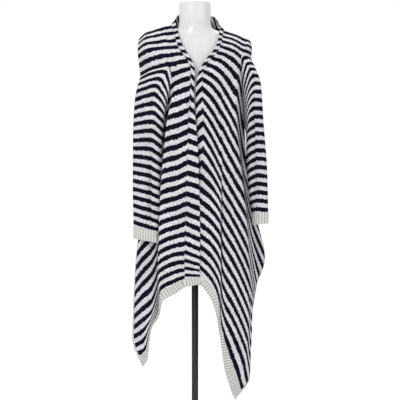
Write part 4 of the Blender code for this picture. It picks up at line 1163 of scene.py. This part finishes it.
ring_table = np.array(list(FORM_RINGS.values()), float)
ring_at = np.linspace(0, len(ring_table) - 1, (len(ring_table) - 1) * 6 + 1)
ring_sizes = smooth(np.arange(len(ring_table)), ring_table, ring_at).T[..., None]
height, half_width, middle, side, behind = ring_sizes
turn = np.arange(FORM_SIDES) * 2 * np.pi / FORM_SIDES
ring_depth = side + (middle - side) * np.sin(turn) ** 4
torso_places = [half_width * np.cos(turn), behind + ring_depth * np.sin(turn), height + 0 * turn]
torso = np.stack(torso_places, axis=-1) * MM
rim_in = torso[:1] * np.array([NECK_RIM, NECK_RIM, 1.0])
torso[0, :, 2] -= RIM_DROP
form = add_tube("form_torso", np.concatenate([rim_in, torso]), gloss)
place(form, "form_torso")

# ---- the pole and the base -------------------------------------------------------------------
# A steel tube that carries the form from below, pushed into the socket of a flat round steel
# foot. Both are black with a fine grain.
POLE_RADIUS = 12.0 * MM
BASE_RADIUS = 150.0 * MM
BASE_THICKNESS = 12.0 * MM
BASE_BEVEL = 3.0 * MM
SOCKET_RADIUS = 22.0 * MM
SOCKET_HEIGHT = 40.0 * MM
SOCKET_FLARE = 2 * MM          # where the socket meets the foot
STAND_BLACKS = ((0.006, 0.006, 0.007, 1.0), (0.018, 0.018, 0.019, 1.0))

black, black_tree, black_shader, stand_place = hard_material("black stand")
speckle = noise(black_tree, stand_place, 900.0, 2.0)
worn_coat = ranged(black_tree, noise(black_tree, stand_place, 30.0, 3.0), 0.3, 0.7, 0.33, 0.46)
link(black_tree, mixed(black_tree, speckle, *STAND_BLACKS), black_shader.inputs["Base Color"])
link(black_tree, worn_coat, black_shader.inputs["Roughness"])
bumped(black_tree, black_shader, speckle, 0.0002, 0.3)


def turned(name, profile, sides):
    """A turned solid of the profile's (radius, height) from its top down, at angles a:
    (radius cos a, radius sin a, height)."""
    radius, height = np.array(profile, float).T[..., None]
    angle = np.arange(sides) * 2 * np.pi / sides
    rings = np.stack([radius * np.cos(angle), radius * np.sin(angle), height + 0 * angle], axis=-1)
    place(add_tube(name, rings, black), name)


under = FORM_RINGS["underside"][0] * MM
base_top = BASE_THICKNESS + SOCKET_HEIGHT
turned("form_pole", [(POLE_RADIUS, under - SEAM_GAP), (POLE_RADIUS, base_top + SEAM_GAP)], 48)
socket = [(SOCKET_RADIUS - BASE_BEVEL, base_top), (SOCKET_RADIUS, base_top - BASE_BEVEL),
          (SOCKET_RADIUS, BASE_THICKNESS + SOCKET_FLARE), (SOCKET_RADIUS + SOCKET_FLARE, BASE_THICKNESS)]
bevel_centre = (BASE_RADIUS - BASE_BEVEL, BASE_THICKNESS - BASE_BEVEL)
foot = [(bevel_centre[0] + BASE_BEVEL * math.cos(a), bevel_centre[1] + BASE_BEVEL * math.sin(a))
        for a in np.linspace(math.pi / 2, 0, 6)]
turned("form_base", socket + foot + [(BASE_RADIUS, 0.0)], 128)

# ---- floor, light and camera -----------------------------------------------------------------
# A wide pale floor under a white room, large soft lights from both sides and above, and the
# camera level with the middle of the garment, as in the photograph.
FLOOR_REACH = 30.0
PAPER_WHITES = ((0.88, 0.88, 0.88, 1.0), (0.92, 0.92, 0.92, 1.0))

floor_mesh = bpy.data.meshes.new("studio_floor")
floor_edge = np.linspace(-FLOOR_REACH, FLOOR_REACH, 9)
floor_grid = np.stack(np.meshgrid(floor_edge, floor_edge, [0.0], indexing="ij"), axis=-1).reshape(9, 9, 3)
floor_mesh.from_pydata(floor_grid.reshape(-1, 3).tolist(), [], grid_faces(9, 9).tolist())
floor_mesh.shade_smooth()
paper, paper_tree, paper_shader, paper_place = hard_material("studio paper")
pale = mixed(paper_tree, noise(paper_tree, paper_place, 2.0), *PAPER_WHITES)
link(paper_tree, pale, paper_shader.inputs["Base Color"])
paper_shader.inputs["Roughness"].default_value = 0.9
paper_shader.inputs["Emission Color"].default_value = (1.0, 1.0, 1.0, 1.0)
lit = paper_tree.nodes.new("ShaderNodeLightPath").outputs["Is Camera Ray"]
glow = maths(paper_tree, "MULTIPLY_ADD", lit, 0.32, 0.10)
link(paper_tree, glow, paper_shader.inputs["Emission Strength"])
floor_mesh.materials.append(paper)
floor = bpy.data.objects.new("studio_floor", floor_mesh)
bpy.context.scene.collection.objects.link(floor)
bpy.context.scene.view_settings.view_transform = "Standard"

world = bpy.data.worlds.new("studio")
bpy.context.scene.world = world
world.use_nodes = True
room = world.node_tree.nodes["Background"]
room.inputs["Color"].default_value = (1.0, 1.0, 1.0, 1.0)
seen = world.node_tree.nodes.new("ShaderNodeLightPath").outputs["Is Camera Ray"]
link(world.node_tree, maths(world.node_tree, "MULTIPLY_ADD", seen, 0.34, 0.66), room.inputs["Strength"])


def soft_light(name, place_at, target, size, power):
    """A square area light that faces the target; size in metres, power in watts."""
    lamp = bpy.data.lights.new(name, "AREA")
    lamp.shape, lamp.size, lamp.energy = "SQUARE", size, power
    holder = bpy.data.objects.new(name, lamp)
    holder.location = place_at
    away = np.array(target, float) - np.array(place_at, float)
    tilt = math.atan2(np.hypot(away[0], away[1]), -away[2])
    holder.rotation_euler = (tilt, 0, math.atan2(-away[0], away[1]))
    bpy.context.scene.collection.objects.link(holder)


soft_light("key", (-2.2, -3.4, 3.0), (0, 0, 0.95), 1.6, 60)
soft_light("fill", (2.8, -2.6, 1.8), (0, 0, 0.9), 2.2, 16)
soft_light("top", (0.0, 0.4, 3.4), (0, 0, 1.0), 2.0, 20)

camera = bpy.data.objects.new("camera", bpy.data.cameras.new("camera"))
camera.location = (0.018, -4.0, 0.838)
camera.rotation_euler = (math.pi / 2, 0, 0)
camera.data.lens, camera.data.sensor_width = 100, 36
bpy.context.scene.collection.objects.link(camera)
bpy.context.scene.camera = camera
